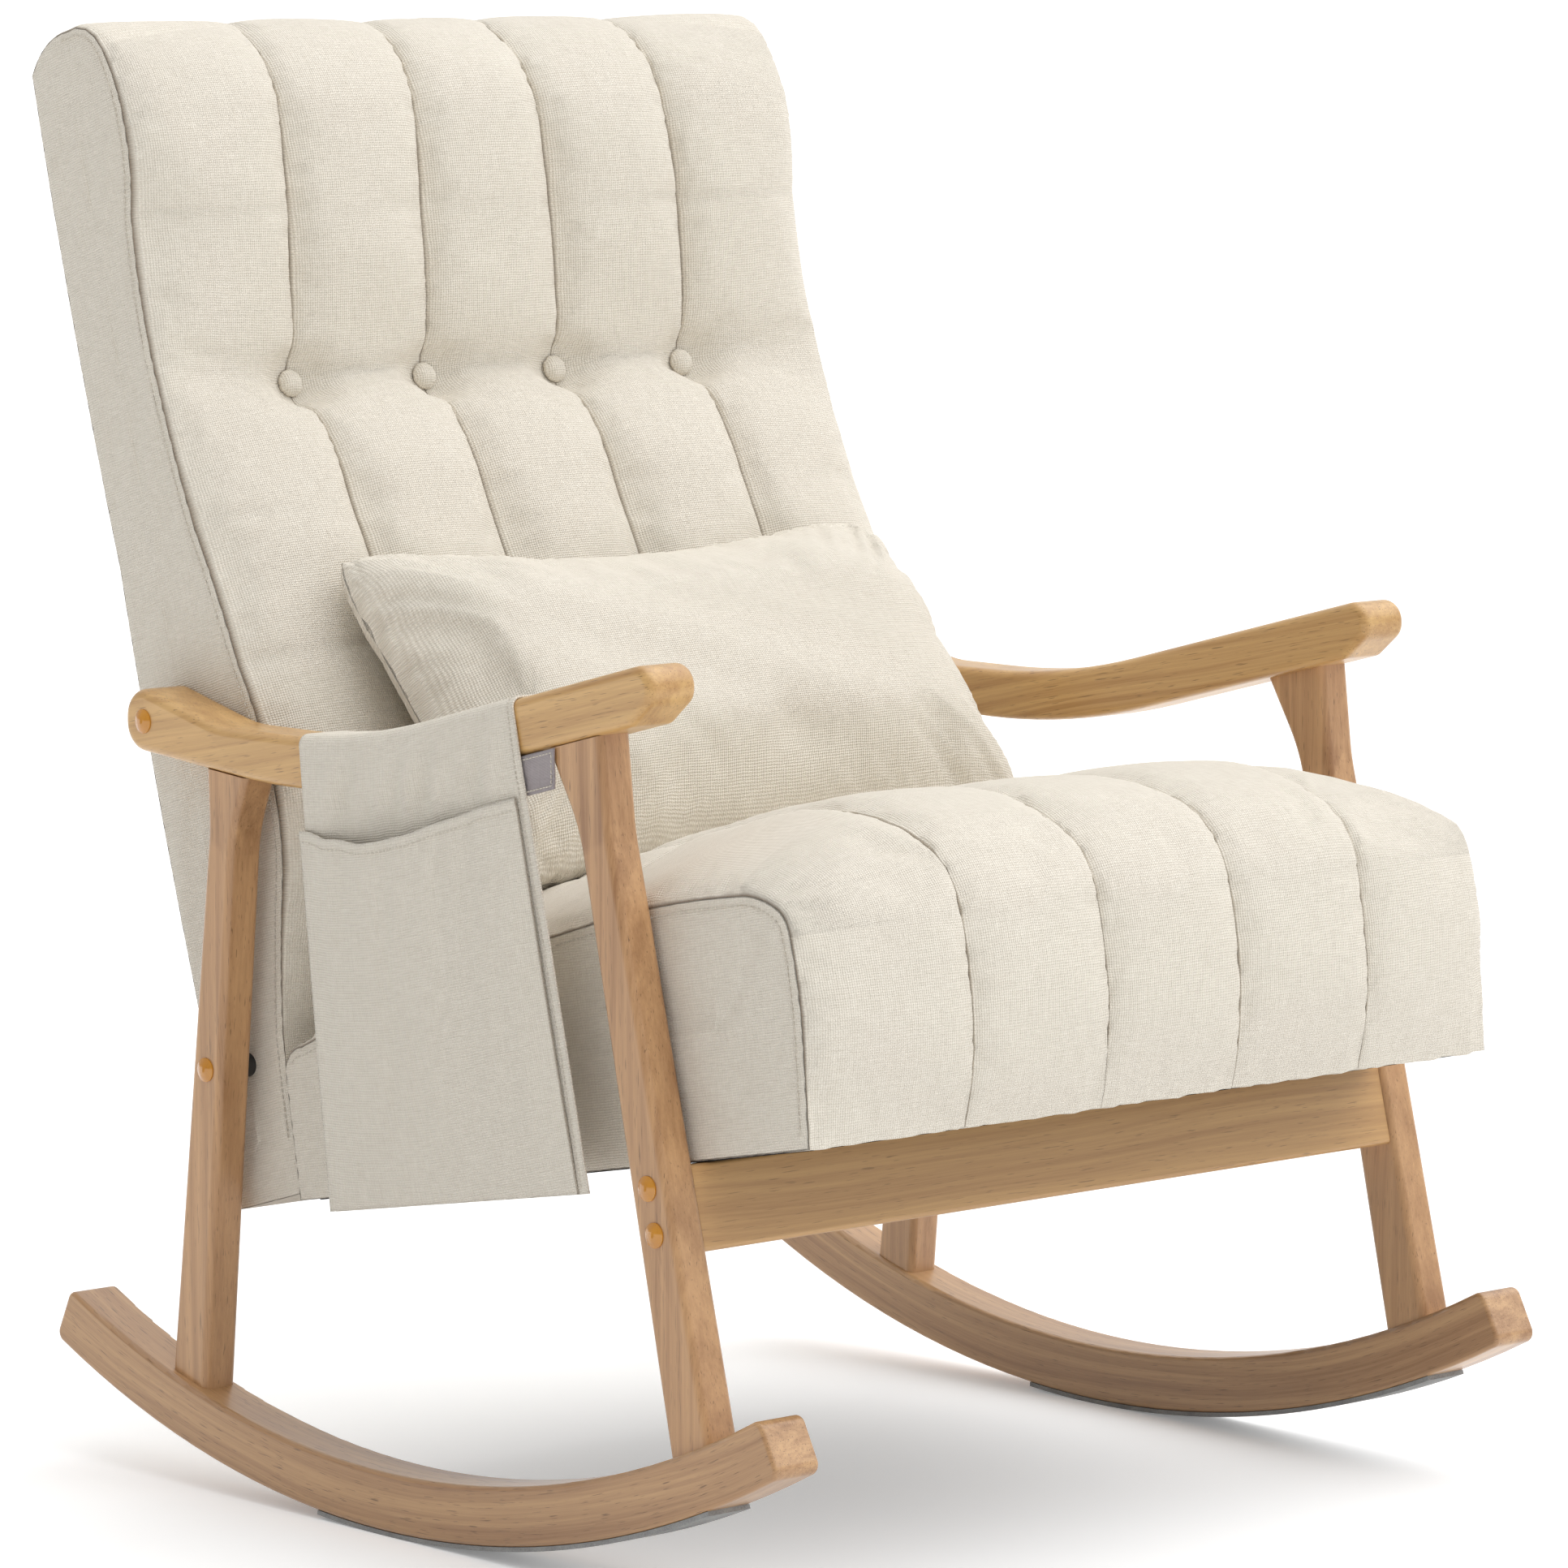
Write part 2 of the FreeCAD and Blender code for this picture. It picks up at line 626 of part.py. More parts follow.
RAIL_OUTLINE = [
    rail_corner("rail_height", "rail_set_back"),
    rail_corner("rail_height", "rail_set_back + rail_thick"),
    rail_corner("0", "rail_set_back + rail_thick"),
    rail_corner("0", "rail_set_back"),
]
FRONT_MIDDLE = "({} + {} / 2)".format(FRONT_EDGE, FRONT_WIDTH)
REAR_MIDDLE = "({} - {} / 2)".format(REAR_EDGE, REAR_WIDTH)
BOLTS = {
    # name: place in Y, place in Z, first face of the timber, its thickness, length of the bolt
    "rail_upper": (FRONT_MIDDLE.replace("{}", "rail_bolt_upper_height"), "rail_bolt_upper_height",
                   "leg_inner", "leg_thick", "leg_bolt_length"),
    "rail_lower": (FRONT_MIDDLE.replace("{}", "rail_bolt_lower_height"), "rail_bolt_lower_height",
                   "leg_inner", "leg_thick", "leg_bolt_length"),
    "rear": (REAR_MIDDLE.replace("{}", "rear_bolt_height"), "rear_bolt_height",
             "leg_inner", "leg_thick", "rear_bolt_length"),
    "arm": ("arm_bolt_rear", "arm_bolt_height", "arm_inner", "arm_width", "arm_bolt_length"),
}


def across(label, side, radius, length, outward, y, z):
    """A bar along X on one side of the chair. outward is the place of its outer end."""
    start = f"{outward} - ({length})" if side > 0 else f"-({outward})"
    return round_bar(label, radius, length, start, y, z, axis=AXIS_X)


def bolt_holes(side, bolt):
    """Tools for the counterbore and the clearance hole of a bolt."""
    y, z, inner, thick, _ = BOLTS[bolt]
    outer = f"({inner} + {thick} + overrun)"
    return [
        across("Counterbore", side, "counterbore_radius", "counterbore_depth + overrun", outer, y, z),
        across("Clearance", side, "bolt_radius + bolt_clearance", f"{thick} + 2 * overrun", outer,
               y, z),
    ]


def bolt_shape(side, bolt, label):
    y, z, inner, thick, length = BOLTS[bolt]
    seat = f"({inner} + {thick} - counterbore_depth + washer_thick)"
    head = across("Head", side, "bolt_head_radius", "bolt_head_height", f"({seat} + bolt_head_height)",
                  y, z)
    shank = across("Shank", side, "bolt_radius", length, seat, y, z)
    socket = across("Socket", side, "bolt_socket_radius", "bolt_socket_depth + overrun",
                    f"({seat} + bolt_head_height + overrun)", y, z)
    return cut(label, joined(label + "_blank", head, shank), socket)


def washer_shape(side, bolt, label):
    y, z, inner, thick, _ = BOLTS[bolt]
    seat = f"({inner} + {thick} - counterbore_depth + washer_thick)"
    disc = across("Disc", side, "washer_radius", "washer_thick", seat, y, z)
    hole = across("Hole", side, "bolt_radius + bolt_clearance", "washer_thick + 2 * overrun",
                  f"({seat} + overrun)", y, z)
    return cut(label, disc, hole)


def cap_shape(side, bolt, label):
    """A domed cap: plug in the counterbore, rim on the timber and a low dome."""
    y, z, inner, thick, _ = BOLTS[bolt]
    face = f"({inner} + {thick})"
    plug = across("Plug", side, "cap_plug_radius", "cap_plug_depth + cap_rim_height / 2",
                  f"({face} + cap_rim_height / 2)", y, z)
    rim = across("Rim", side, "cap_radius", "cap_rim_height", f"({face} + cap_rim_height)", y, z)
    dome = doc.addObject("Part::Sphere", "Dome")
    bend = "((cap_radius ^ 2 + cap_dome_height ^ 2) / (2 * cap_dome_height))"
    dome.Placement = Placement(Vector(0, 0, 0), Rotation(AXIS_Z, side * AXIS_X))
    reach = f"({face} + cap_rim_height + cap_dome_height - {bend})"
    bind(dome, Radius=bend, Angle1=f"acos(cap_radius / {bend})", Angle2="90",
         Placement__Base__x=reach if side > 0 else f"-{reach}", Placement__Base__y=y,
         Placement__Base__z=z)
    return joined(label, plug, rim, dome)


def dowel_row(side, y, z, clearance):
    """Two dowels side by side in a joint between a leg and the part above or below it."""
    bars = []
    for way in (-1, 1):
        bar = doc.addObject("Part::Cylinder", "Dowel")
        middle = "leg_inner + leg_thick / 2"
        extra = "dowel_clearance" if clearance else "0"
        end = "dowel_end_gap" if clearance else "0"
        bind(bar, Radius=f"dowel_radius + {extra}", Height=f"dowel_length + 2 * {end}",
             Placement__Base__x=middle if side > 0 else f"-({middle})",
             Placement__Base__y=f"{y} + {way} * dowel_spread / 2",
             Placement__Base__z=f"{z} - dowel_length / 2 - {end}")
        bars.append(bar)
    return bars


ROCKER_TOP = ("(rocker_radius + felt_thick - sqrt((rocker_radius - rocker_depth) ^ 2 - {} ^ 2))")
JOINTS = {
    # name: place of the dowels in Y and Z
    "front_foot": (FRONT_MIDDLE.replace("{}", "front_leg_foot_height"),
                   ROCKER_TOP.format(FRONT_MIDDLE.replace("{}", "front_leg_foot_height"))),
    "rear_foot": (REAR_MIDDLE.replace("{}", "rear_leg_foot_height"),
                  ROCKER_TOP.format(REAR_MIDDLE.replace("{}", "rear_leg_foot_height"))),
    "front_head": ("(front_leg_head_width / 2 - front_leg_head_front)",
                   ARM_UNDER.format("(front_leg_head_width / 2 - front_leg_head_front)")),
    "rear_head": ("(rear_leg_head_rear - rear_leg_head_width / 2)",
                  ARM_UNDER_REAR.format("(rear_leg_head_rear - rear_leg_head_width / 2)")),
}

# Wooden frame, one set for each side
caps = []
washers = []
bolts = {"rail": [], "rear": [], "arm": []}
nuts = []
inserts = []
spacers = []
rail_tools = []
for name, side in SIDES.items():
    def holes(*joints):
        return [bar for joint in joints for bar in dowel_row(side, *JOINTS[joint], True)]

    keep(cut(f"rocker_{name}", rocker(side, name), *holes("front_foot", "rear_foot")),
         f"rocker_{name}")
    keep(felt(side, name), f"rocker_felt_{name}")
    bed = round_bar("Bed", "rocker_radius - rocker_depth", "rocker_width + 2 * overrun",
                    place_on_side(side, "(rocker_inner - overrun)", "(rocker_width + 2 * overrun)"),
                    "0", ROCKER_CENTRE, axis=AXIS_X)
    for which, outline, bores in (("front", front_leg_outline(), ("rail_upper", "rail_lower")),
                                  ("rear", rear_leg_outline(), ("rear",))):
        standing = doc.addObject("Part::Common", f"{which}_leg_{name}_standing")
        standing.Base = leg(f"{which}_leg_{name}", side, outline)
        standing.Tool = bed
        tools = holes(f"{which}_foot", f"{which}_head")
        for bolt in bores:
            tools += bolt_holes(side, bolt)
        keep(cut(f"{which}_leg_{name}", standing, *tools), f"{which}_leg_{name}")
    arm = board(f"armrest_{name}_board", ARM_OUTLINE,
                place_on_side(side, "arm_inner", "arm_width"), "arm_width")
    rounded(arm, "arm_edge_round", flat_in_x)
    keep(cut(f"armrest_{name}", arm, *holes("front_head", "rear_head"), *bolt_holes(side, "arm")),
         f"armrest_{name}")
    in_one(f"dowels_{name}", *[bar for joint in JOINTS.values()
                               for bar in dowel_row(side, *joint, False)])
    for bolt in BOLTS:
        kind = bolt.split("_")[0]
        bolts[kind].append(bolt_shape(side, bolt, f"{bolt}_bolt_{name}"))
        washers.append(washer_shape(side, bolt, f"{bolt}_washer_{name}"))
        caps.append(cap_shape(side, bolt, f"{bolt}_cap_{name}"))
    # barrel nuts in the rail, with their holes from the rail's inner face
    for bolt in ("rail_upper", "rail_lower"):
        y, z, inner, thick, length = BOLTS[bolt]
        tip = f"({inner} + {thick} - counterbore_depth + washer_thick - {length})"
        place = f"({tip} + barrel_nut_radius + bolt_radius)"
        x = place if side > 0 else f"-{place}"
        nut = round_bar("Barrel", "barrel_nut_radius", "barrel_nut_length", x,
                        f"{y} + barrel_nut_length / 2", z, axis=-AXIS_Y)
        thread = across("Thread", side, "bolt_radius + thread_clearance", "rail_thick",
                        f"({place} + rail_thick / 2)", y, z)
        nuts.append(cut(f"{bolt}_nut_{name}", nut, thread))
        rail_tools.append(round_bar("Pocket", "barrel_nut_radius + thread_clearance",
                                    "barrel_nut_length / 2 + thread_clearance + rail_thick", x,
                                    f"{y} + rail_thick", z, axis=-AXIS_Y))
        rail_tools.append(across("Bore", side, "bolt_radius + bolt_clearance",
                                 f"leg_inner - {tip} + 2 * overrun", "(leg_inner + overrun)", y, z))

for kind, name in (("rail", "rail_bolts"), ("rear", "rear_leg_bolts"), ("arm", "arm_bolts")):
    in_one(name, *bolts[kind])
in_one("bolt_washers", *washers)
in_one("bolt_caps", *caps)
in_one("rail_barrel_nuts", *nuts)

# Soft forms, drawn in the frame of their unit: forward along the first axis, up along the second
SEAT = ("seat_rear", "seat_rear_height", "seat_tilt")
BACK = ("back_rear", "back_rear_height", "back_lean")


def scaled(rows, length, height):
    """An outline from its table of shares: corners and the middles of the arcs between them."""
    outline = []
    for row in rows:
        corner = Vector(row[0][0] * length, row[0][1] * height, 0)
        middle = Vector(row[1][0] * length, row[1][1] * height, 0) if row[1] else None
        outline.append((corner, middle))
    return outline


def edges_of(outline):
    """Lines and arcs of an outline."""
    edges = []
    for i, (corner, middle) in enumerate(outline):
        far = outline[(i + 1) % len(outline)][0]
        bent = Part.Arc(corner, middle, far) if middle else Part.LineSegment(corner, far)
        edges.append(bent.toShape())
    return edges


def moved_in(outline, amounts):
    """An outline moved inwards by one amount for each corner, with as many sides as before."""
    edges = edges_of(outline)

    def inward(edge, place):
        along = edge.tangentAt(place)
        return Vector(-along.y, along.x, 0).normalize()

    moved = []
    for i, (corner, middle) in enumerate(outline):
        before = inward(edges[i - 1], edges[i - 1].LastParameter)
        after = inward(edges[i], edges[i].FirstParameter)
        way = (before + after).normalize()
        shifted = corner + way * (amounts[i] / way.dot(after))
        if middle:
            edge = edges[i]
            half = (edge.FirstParameter + edge.LastParameter) / 2
            amount = (amounts[i] + amounts[(i + 1) % len(outline)]) / 2
            middle = middle + inward(edge, half) * amount
        moved.append((shifted, middle))
    return moved


def between(first, second):
    """The outline half way between two others."""
    return [((a + c) / 2, (b + d) / 2 if b and d else None)
            for (a, b), (c, d) in zip(first, second)]


def wire_at(outline, x):
    """An outline as a wire across the chair at the given place in X."""
    placed = [(Vector(x, -corner.x, corner.y), middle and Vector(x, -middle.x, middle.y))
              for corner, middle in outline]
    return Part.Wire(edges_of(placed))


def channelled(side_rows, channel_rows, length, side_height, height, crown, half_width, inset):
    """A cushion of five crowned channels between its side seams, moved in by an inset."""
    side = scaled(side_rows, length, side_height)
    valley = scaled(channel_rows, length, height)
    raised = [-crown * row[2] for row in channel_rows]
    crest = moved_in(valley, raised)
    shoulder = moved_in(between(side, valley), raised)
    inner, outer = size.seam_inner, size.seam_outer
    level = [inset] * len(valley)
    side, valley, crest, shoulder = (moved_in(outline, level)
                                     for outline in (side, valley, crest, shoulder))
    edge = half_width - inset
    stations = [
        [(-edge, side), (-(outer + half_width) / 2, shoulder), (-outer, valley)],
        [(-outer, valley), (-(inner + outer) / 2, crest), (-inner, valley)],
        [(-inner, valley), (0, crest), (inner, valley)],
        [(inner, valley), ((inner + outer) / 2, crest), (outer, valley)],
        [(outer, valley), ((outer + half_width) / 2, shoulder), (edge, side)],
    ]
    channels = [Part.makeLoft([wire_at(outline, x) for x, outline in row], True, False)
                for row in stations]
    return channels[0].fuse(channels[1:])


def seat_form(inset):
    return channelled(SEAT_SIDE_SHARES, SEAT_CHANNEL_SHARES, size.seat_length,
                      size.seat_side_height, size.seat_middle_height, size.seat_channel_crown,
                      size.seat_half_width, inset)


def back_form(inset):
    """The back cushion, with a dimple round each button."""
    cushion = channelled(BACK_SIDE_SHARES, BACK_CHANNEL_SHARES, size.back_depth,
                         size.back_length, size.back_length, size.back_channel_crown,
                         size.back_half_width, inset)
    ball = size.dimple_radius + inset
    deep = size.back_button_depth - size.dimple_depth + size.dimple_radius
    dimples = [Part.makeSphere(ball, Vector(x, -deep, size.back_button_height))
               for x in BUTTON_PLACES]
    return cushion.cut(dimples)


BUTTON_PLACES = [-size.seam_outer, -size.seam_inner, size.seam_inner, size.seam_outer]


def block(x, forward, up):
    """A plain box from three pairs of limits, in the frame of a unit."""
    return Part.makeBox(x[1] - x[0], forward[1] - forward[0], up[1] - up[0],
                        Vector(x[0], -forward[1], up[0]))


def soft(label, shape, unit):
    """A soft piece kept as one feature, put into the frame of its unit."""
    feature = doc.addObject("Part::Feature", label)
    feature.Shape = shape
    lean_back(feature, *unit)
    doc.recompute()
    return feature


def leaning_place(unit, forward, up):
    """A point of a leaning frame as expressions in Y and Z."""
    y, z, angle = unit
    return (f"{y} - ({forward}) * cos({angle}) + ({up}) * sin({angle})",
            f"{z} + ({forward}) * sin({angle}) + ({up}) * cos({angle})")


def leaning_box(unit, label, x, forward, up, length, depth, height):
    """A board in the frame of the seat or back, from its lowest rear corner's place."""
    y, z = leaning_place(unit, f"{forward} + {depth}", up)
    timber = doc.addObject("Part::Box", label)
    timber.Placement = Placement(Vector(0, 0, 0), Rotation(-AXIS_X, value(unit[2])))
    bind(timber, Length=length, Width=depth, Height=height, Placement__Base__x=x,
         Placement__Base__y=y, Placement__Base__z=z, Placement__Rotation__Angle=unit[2])
    return timber


def leaning_bar(unit, label, radius, length, x, forward, up, axis, angle):
    """A round bar in the frame of the seat or back, turned about X by an expression."""
    y, z = leaning_place(unit, forward, up)
    bar = doc.addObject("Part::Cylinder", label)
    bar.Placement = Placement(Vector(0, 0, 0), Rotation(axis, value(angle)))
    bind(bar, Radius=radius, Height=length, Placement__Base__x=x, Placement__Base__y=y,
         Placement__Base__z=z, Placement__Rotation__Angle=angle)
    return bar


def unit_bolt(side, label, radius, reach, extra="0"):
    """A bar along a bolt that holds the seat to the back, from the seat's rear board."""
    return leaning_bar(SEAT, label, radius, f"{reach} + {extra}",
                       f"{side} * unit_bolt_spread",
                       f"seat_frame_inset + seat_board_thick + {extra}", "unit_bolt_rise",
                       -AXIS_X, f"90 + {SEAT[2]}")


# Seat unit
SEAT_BOARD_FOOT = "(cover_thick + pad_gap)"
LONG_STRIP = "(seat_board_height + pad_gap)"
CROSS_STRIP = "(seat_board_height + webbing_thick + 2 * pad_gap)"
SIDE_RAIL = "(seat_half_width - seat_frame_inset - seat_board_thick)"
CLEAR_LENGTH = "(seat_length - 2 * seat_frame_inset)"
BOLT_RUN = "(seat_frame_inset + seat_board_thick + unit_bolt_reach)"
RAIL_MIDDLE = "((seat_rear - {}) / cos(seat_tilt))".format(
    rail_corner("0", "rail_set_back + rail_thick / 2")[0])
screw_tools = {}
for way in (-1, 1):
    screw_foot = ("(rail_screw_sink - dust_cover_thick - 2 * pad_gap"
                  " - rail_height * cos(seat_tilt))")
    screw_x = f"{way} * rail_screw_spread"
    reach = f"(rail_screw_bite - {screw_foot})"
    shank = leaning_bar(SEAT, "Shank", "rail_screw_radius", reach, screw_x, RAIL_MIDDLE,
                        screw_foot, -AXIS_X, SEAT[2])
    head = leaning_bar(SEAT, "Head", "rail_screw_head_radius", "rail_screw_head_height", screw_x,
                       RAIL_MIDDLE, screw_foot, -AXIS_X, SEAT[2])
    loose = leaning_bar(SEAT, "Clearance", "rail_screw_radius + bolt_clearance",
                        f"{reach} + overrun", screw_x, RAIL_MIDDLE, screw_foot, -AXIS_X, SEAT[2])
    sink = leaning_bar(SEAT, "Sink", "rail_screw_head_radius + bolt_clearance",
                       "rail_screw_sink + rail_screw_head_height + 2 * overrun", screw_x,
                       RAIL_MIDDLE, f"{screw_foot} - rail_screw_sink - 2 * overrun", -AXIS_X,
                       SEAT[2])
    screw_tools[way] = (joined(f"Screw{'_' if way < 0 else ''}", shank, head), loose, sink)
in_one("seat_rail_screws", screw_tools[-1][0], screw_tools[1][0])
screw_holes = [screw_tools[-1][1], screw_tools[1][1]]

rail = board("front_rail_board", RAIL_OUTLINE, "-leg_inner", "2 * leg_inner")
keep(cut("front_rail", rail, *rail_tools, *screw_holes, screw_tools[-1][2], screw_tools[1][2]),
     "front_rail")

unit_holes = [unit_bolt(way, "Clearance", "unit_bolt_radius + bolt_clearance", BOLT_RUN, "overrun")
              for way in (-1, 1)]
side_height = f"{CROSS_STRIP} - pad_gap - {SEAT_BOARD_FOOT}"
for name, side in SIDES.items():
    x = SIDE_RAIL if side > 0 else f"-{SIDE_RAIL} - seat_board_thick"
    keep(leaning_box(SEAT, f"seat_side_rail_{name}", x, "seat_frame_inset", SEAT_BOARD_FOOT,
                     "seat_board_thick", CLEAR_LENGTH, side_height), f"seat_side_rail_{name}")
board_height = f"seat_board_height - {SEAT_BOARD_FOOT}"
front = leaning_box(SEAT, "seat_front_board", f"-{SIDE_RAIL}",
                    "seat_length - seat_frame_inset - seat_board_thick", SEAT_BOARD_FOOT,
                    f"2 * {SIDE_RAIL}", "seat_board_thick", board_height)
keep(front, "seat_front_board")
rear = leaning_box(SEAT, "seat_rear_board_stock", f"-{SIDE_RAIL}", "seat_frame_inset",
                   SEAT_BOARD_FOOT, f"2 * {SIDE_RAIL}", "seat_board_thick", board_height)
keep(cut("seat_rear_board", rear, *unit_holes), "seat_rear_board")
cross = leaning_box(SEAT, "seat_cross_rail_stock", f"-{SIDE_RAIL}",
                    f"{RAIL_MIDDLE} - seat_cross_width / 2", "0", f"2 * {SIDE_RAIL}",
                    "seat_cross_width", "seat_cross_height")
keep(cut("seat_cross_rail", cross, *screw_holes), "seat_cross_rail")

blocks = []
for side in (-1, 1):
    for forward in ("seat_frame_inset + seat_board_thick",
                    "seat_length - seat_frame_inset - seat_board_thick - seat_block_width"):
        x = f"{SIDE_RAIL} - seat_block_width" if side > 0 else f"-{SIDE_RAIL}"
        blocks.append(leaning_box(SEAT, "Block", x, forward, "seat_board_height / 4",
                                  "seat_block_width", "seat_block_width", "seat_block_height"))
in_one("seat_corner_blocks", *blocks)

strips = []
for place in (-3, -1, 1, 3):
    strips.append(leaning_box(SEAT, "Strip", f"{place} / 2 * webbing_pitch - webbing_width / 2",
                              "seat_frame_inset + overrun", LONG_STRIP, "webbing_width",
                              f"{CLEAR_LENGTH} - 2 * overrun", "webbing_thick"))
for place in (-1, 0, 1):
    half = f"({SIDE_RAIL} + seat_board_thick - overrun)"
    strips.append(leaning_box(SEAT, "Strip", f"-{half}",
                              f"(seat_length - webbing_width) / 2 + {place} * cross_webbing_pitch",
                              CROSS_STRIP, f"2 * {half}", "webbing_width", "webbing_thick"))
in_one("seat_webbing", *strips)

inset = size.cover_thick + size.pad_gap
frame_side = size.seat_half_width - size.seat_frame_inset + size.pad_gap
frame_rear = size.seat_frame_inset - size.pad_gap
frame_front = size.seat_length - frame_rear
frame_top = value(CROSS_STRIP) + size.webbing_thick + size.pad_gap
deep = size.seat_board_height
pad = seat_form(inset).cut(block((-frame_side, frame_side), (frame_rear, frame_front),
                                 (-deep, frame_top)))
keep(cut("seat_foam", soft("seat_foam_stock", pad, SEAT), *unit_holes), "seat_foam")
hem = size.cover_hem
skin = seat_form(0).cut(seat_form(size.cover_thick))
skin = skin.cut(block((hem - size.seat_half_width, size.seat_half_width - hem),
                      (hem, size.seat_length - hem), (-deep, inset)))
keep(cut("seat_cover", soft("seat_cover_stock", skin, SEAT), *unit_holes), "seat_cover")
under = leaning_box(SEAT, "seat_dust_cover_stock", "dust_cover_inset - seat_half_width",
                    "dust_cover_inset", "-dust_cover_thick - pad_gap",
                    "2 * (seat_half_width - dust_cover_inset)",
                    "seat_length - 2 * dust_cover_inset", "dust_cover_thick")
keep(cut("seat_dust_cover", under, *screw_holes), "seat_dust_cover")

# Back unit
STILE = "(back_half_width - back_frame_inset - back_stile_thick)"
STILE_TOP = "(back_stile_foot + back_stile_height)"
STILE_FRONT = [("(back_stile_set_in + back_stile_depth)", "back_stile_foot")]
for across_share, up_share in STILE_SHARES:
    STILE_FRONT.append((f"({across_share} * back_depth)", f"({up_share} * back_length)"))
STILE_FRONT.append((STILE_FRONT[-1][0], STILE_TOP))
STILE_OUTLINE = [("back_stile_set_in", "back_stile_foot"), *STILE_FRONT,
                 ("back_stile_set_in", STILE_TOP)]
for name, side in SIDES.items():
    x = STILE if side > 0 else f"-{STILE} - back_stile_thick"
    stile = board(f"back_stile_{name}_stock", [(*leaning_place(BACK, *corner), None)
                                               for corner in STILE_OUTLINE], x,
                  "back_stile_thick")
    bores = []
    for bolt in ("rear", "arm"):
        y, z, *_ = BOLTS[bolt]
        face = f"({STILE} + back_stile_thick)"
        bores.append(across("Bore", side, "insert_radius + thread_clearance",
                            "back_stile_thick + 2 * overrun", f"({face} + overrun)", y, z))
        sleeve = across("Sleeve", side, "insert_radius", "insert_length", face, y, z)
        thread = across("Thread", side, "bolt_radius + thread_clearance",
                        "insert_length + 2 * overrun", f"({face} + overrun)", y, z)
        inserts.append(cut(f"{bolt}_insert_{name}", sleeve, thread))
    keep(cut(f"back_stile_{name}", stile, *bores), f"back_stile_{name}")
    y, z, *_ = BOLTS["rear"]
    collar = across("Collar", side, "spacer_radius", "leg_inner - back_half_width - 2 * pad_gap",
                    "leg_inner - pad_gap", y, z)
    hole = across("Hole", side, "bolt_radius + bolt_clearance", "leg_inner - back_half_width",
                  "leg_inner", y, z)
    spacers.append(cut(f"spacer_{name}", collar, hole))
in_one("frame_inserts", *inserts)
in_one("rear_spacers", *spacers)


def button_bar(label, place, radius, length, start):
    """A bar along the back's depth at a button. start is its rear end."""
    return leaning_bar(BACK, label, radius, length, place, start, "back_button_height", AXIS_X,
                       f"90 - {BACK[2]}")


BUTTON_FOOT = ("(back_button_depth - dimple_depth + dimple_radius + pad_gap"
               " - sqrt(dimple_radius ^ 2 - button_radius ^ 2))")
TWINE_START = "(back_rail_rear + back_rail_depth / 2)"
twine_holes = []
twines = []
for number, place in enumerate(("-seam_outer", "-seam_inner", "seam_inner", "seam_outer"), start=1):
    base = button_bar("Base", place, "button_radius", "button_rim", BUTTON_FOOT)
    y, z = leaning_place(BACK, f"{BUTTON_FOOT} + button_rim", "back_button_height")
    rise = "(button_height - button_rim)"
    bend = f"((button_radius ^ 2 + {rise} ^ 2) / (2 * {rise}))"
    y, z = leaning_place(BACK, f"{BUTTON_FOOT} + button_height - {bend}", "back_button_height")
    dome = doc.addObject("Part::Sphere", "Dome")
    dome.Placement = Placement(Vector(0, 0, 0), Rotation(AXIS_X, value(f"90 - {BACK[2]}")))
    bind(dome, Radius=bend, Angle1=f"acos(button_radius / {bend})", Angle2="90",
         Placement__Base__x=place, Placement__Base__y=y, Placement__Base__z=z,
         Placement__Rotation__Angle=f"90 - {BACK[2]}")
    keep(joined(f"back_button_{number}", base, dome), f"back_button_{number}")
    reach = f"{BUTTON_FOOT} - {TWINE_START}"
    twines.append(button_bar("Twine", place, "twine_radius", reach, TWINE_START))
    twine_holes.append(button_bar("Pass", place, "twine_radius + thread_clearance",
                                  f"{reach} + overrun", TWINE_START))
in_one("button_twines", *twines)

rails = {
    "back_top_rail": ("back_stile_foot + back_stile_height - back_rail_height", []),
    "back_button_rail": ("back_button_height - back_rail_height / 2", twine_holes),
    "back_bottom_rail": ("back_stile_foot + back_foot_rail_rise", unit_holes),
}
for label, (foot, holes) in rails.items():
    timber = leaning_box(BACK, label + "_stock", f"-{STILE}", "back_rail_rear", foot,
                         f"2 * {STILE}", "back_rail_depth", "back_rail_height")
    keep(cut(label, timber, *holes) if holes else timber, label)

strips = []
half = f"({STILE} + back_stile_thick - overrun)"
for row, place in STRIP_SHARES:
    strips.append(leaning_box(BACK, "Strip", f"-{half}", f"{STILE_FRONT[row][0]} + pad_gap",
                              f"{place} * back_length - webbing_width / 2",
                              f"2 * {half}", "webbing_thick", "webbing_width"))
in_one("back_webbing", *strips)

side_face = size.back_half_width - size.back_frame_inset + size.pad_gap
step = size.webbing_thick + 2 * size.pad_gap
deep = size.back_stile_depth
line = [(value(forward) + step, value(up)) for forward, up in STILE_FRONT]
line[0] = (line[0][0], -deep)
line[-1] = (line[-1][0], line[-1][1] + size.pad_gap)
line += [(-deep, line[-1][1]), (-deep, -deep)]
corners = [Vector(-side_face, -forward, up) for forward, up in line]
hollow = Part.Face(Part.makePolygon(corners + corners[:1])).extrude(AXIS_X * 2 * side_face)
side_tools = [tool for side in (-1, 1) for bolt in ("rear", "arm")
              for tool in [across("Pass", side, "bolt_radius + bolt_clearance",
                                  "back_stile_thick", "(back_half_width + overrun)",
                                  *BOLTS[bolt][:2])]]
pad = back_form(inset).cut(hollow)
keep(cut("back_foam", soft("back_foam_stock", pad, BACK), *side_tools, *unit_holes, *twine_holes),
     "back_foam")
skin = back_form(0).cut(back_form(size.cover_thick))
margin = size.rear_panel_margin


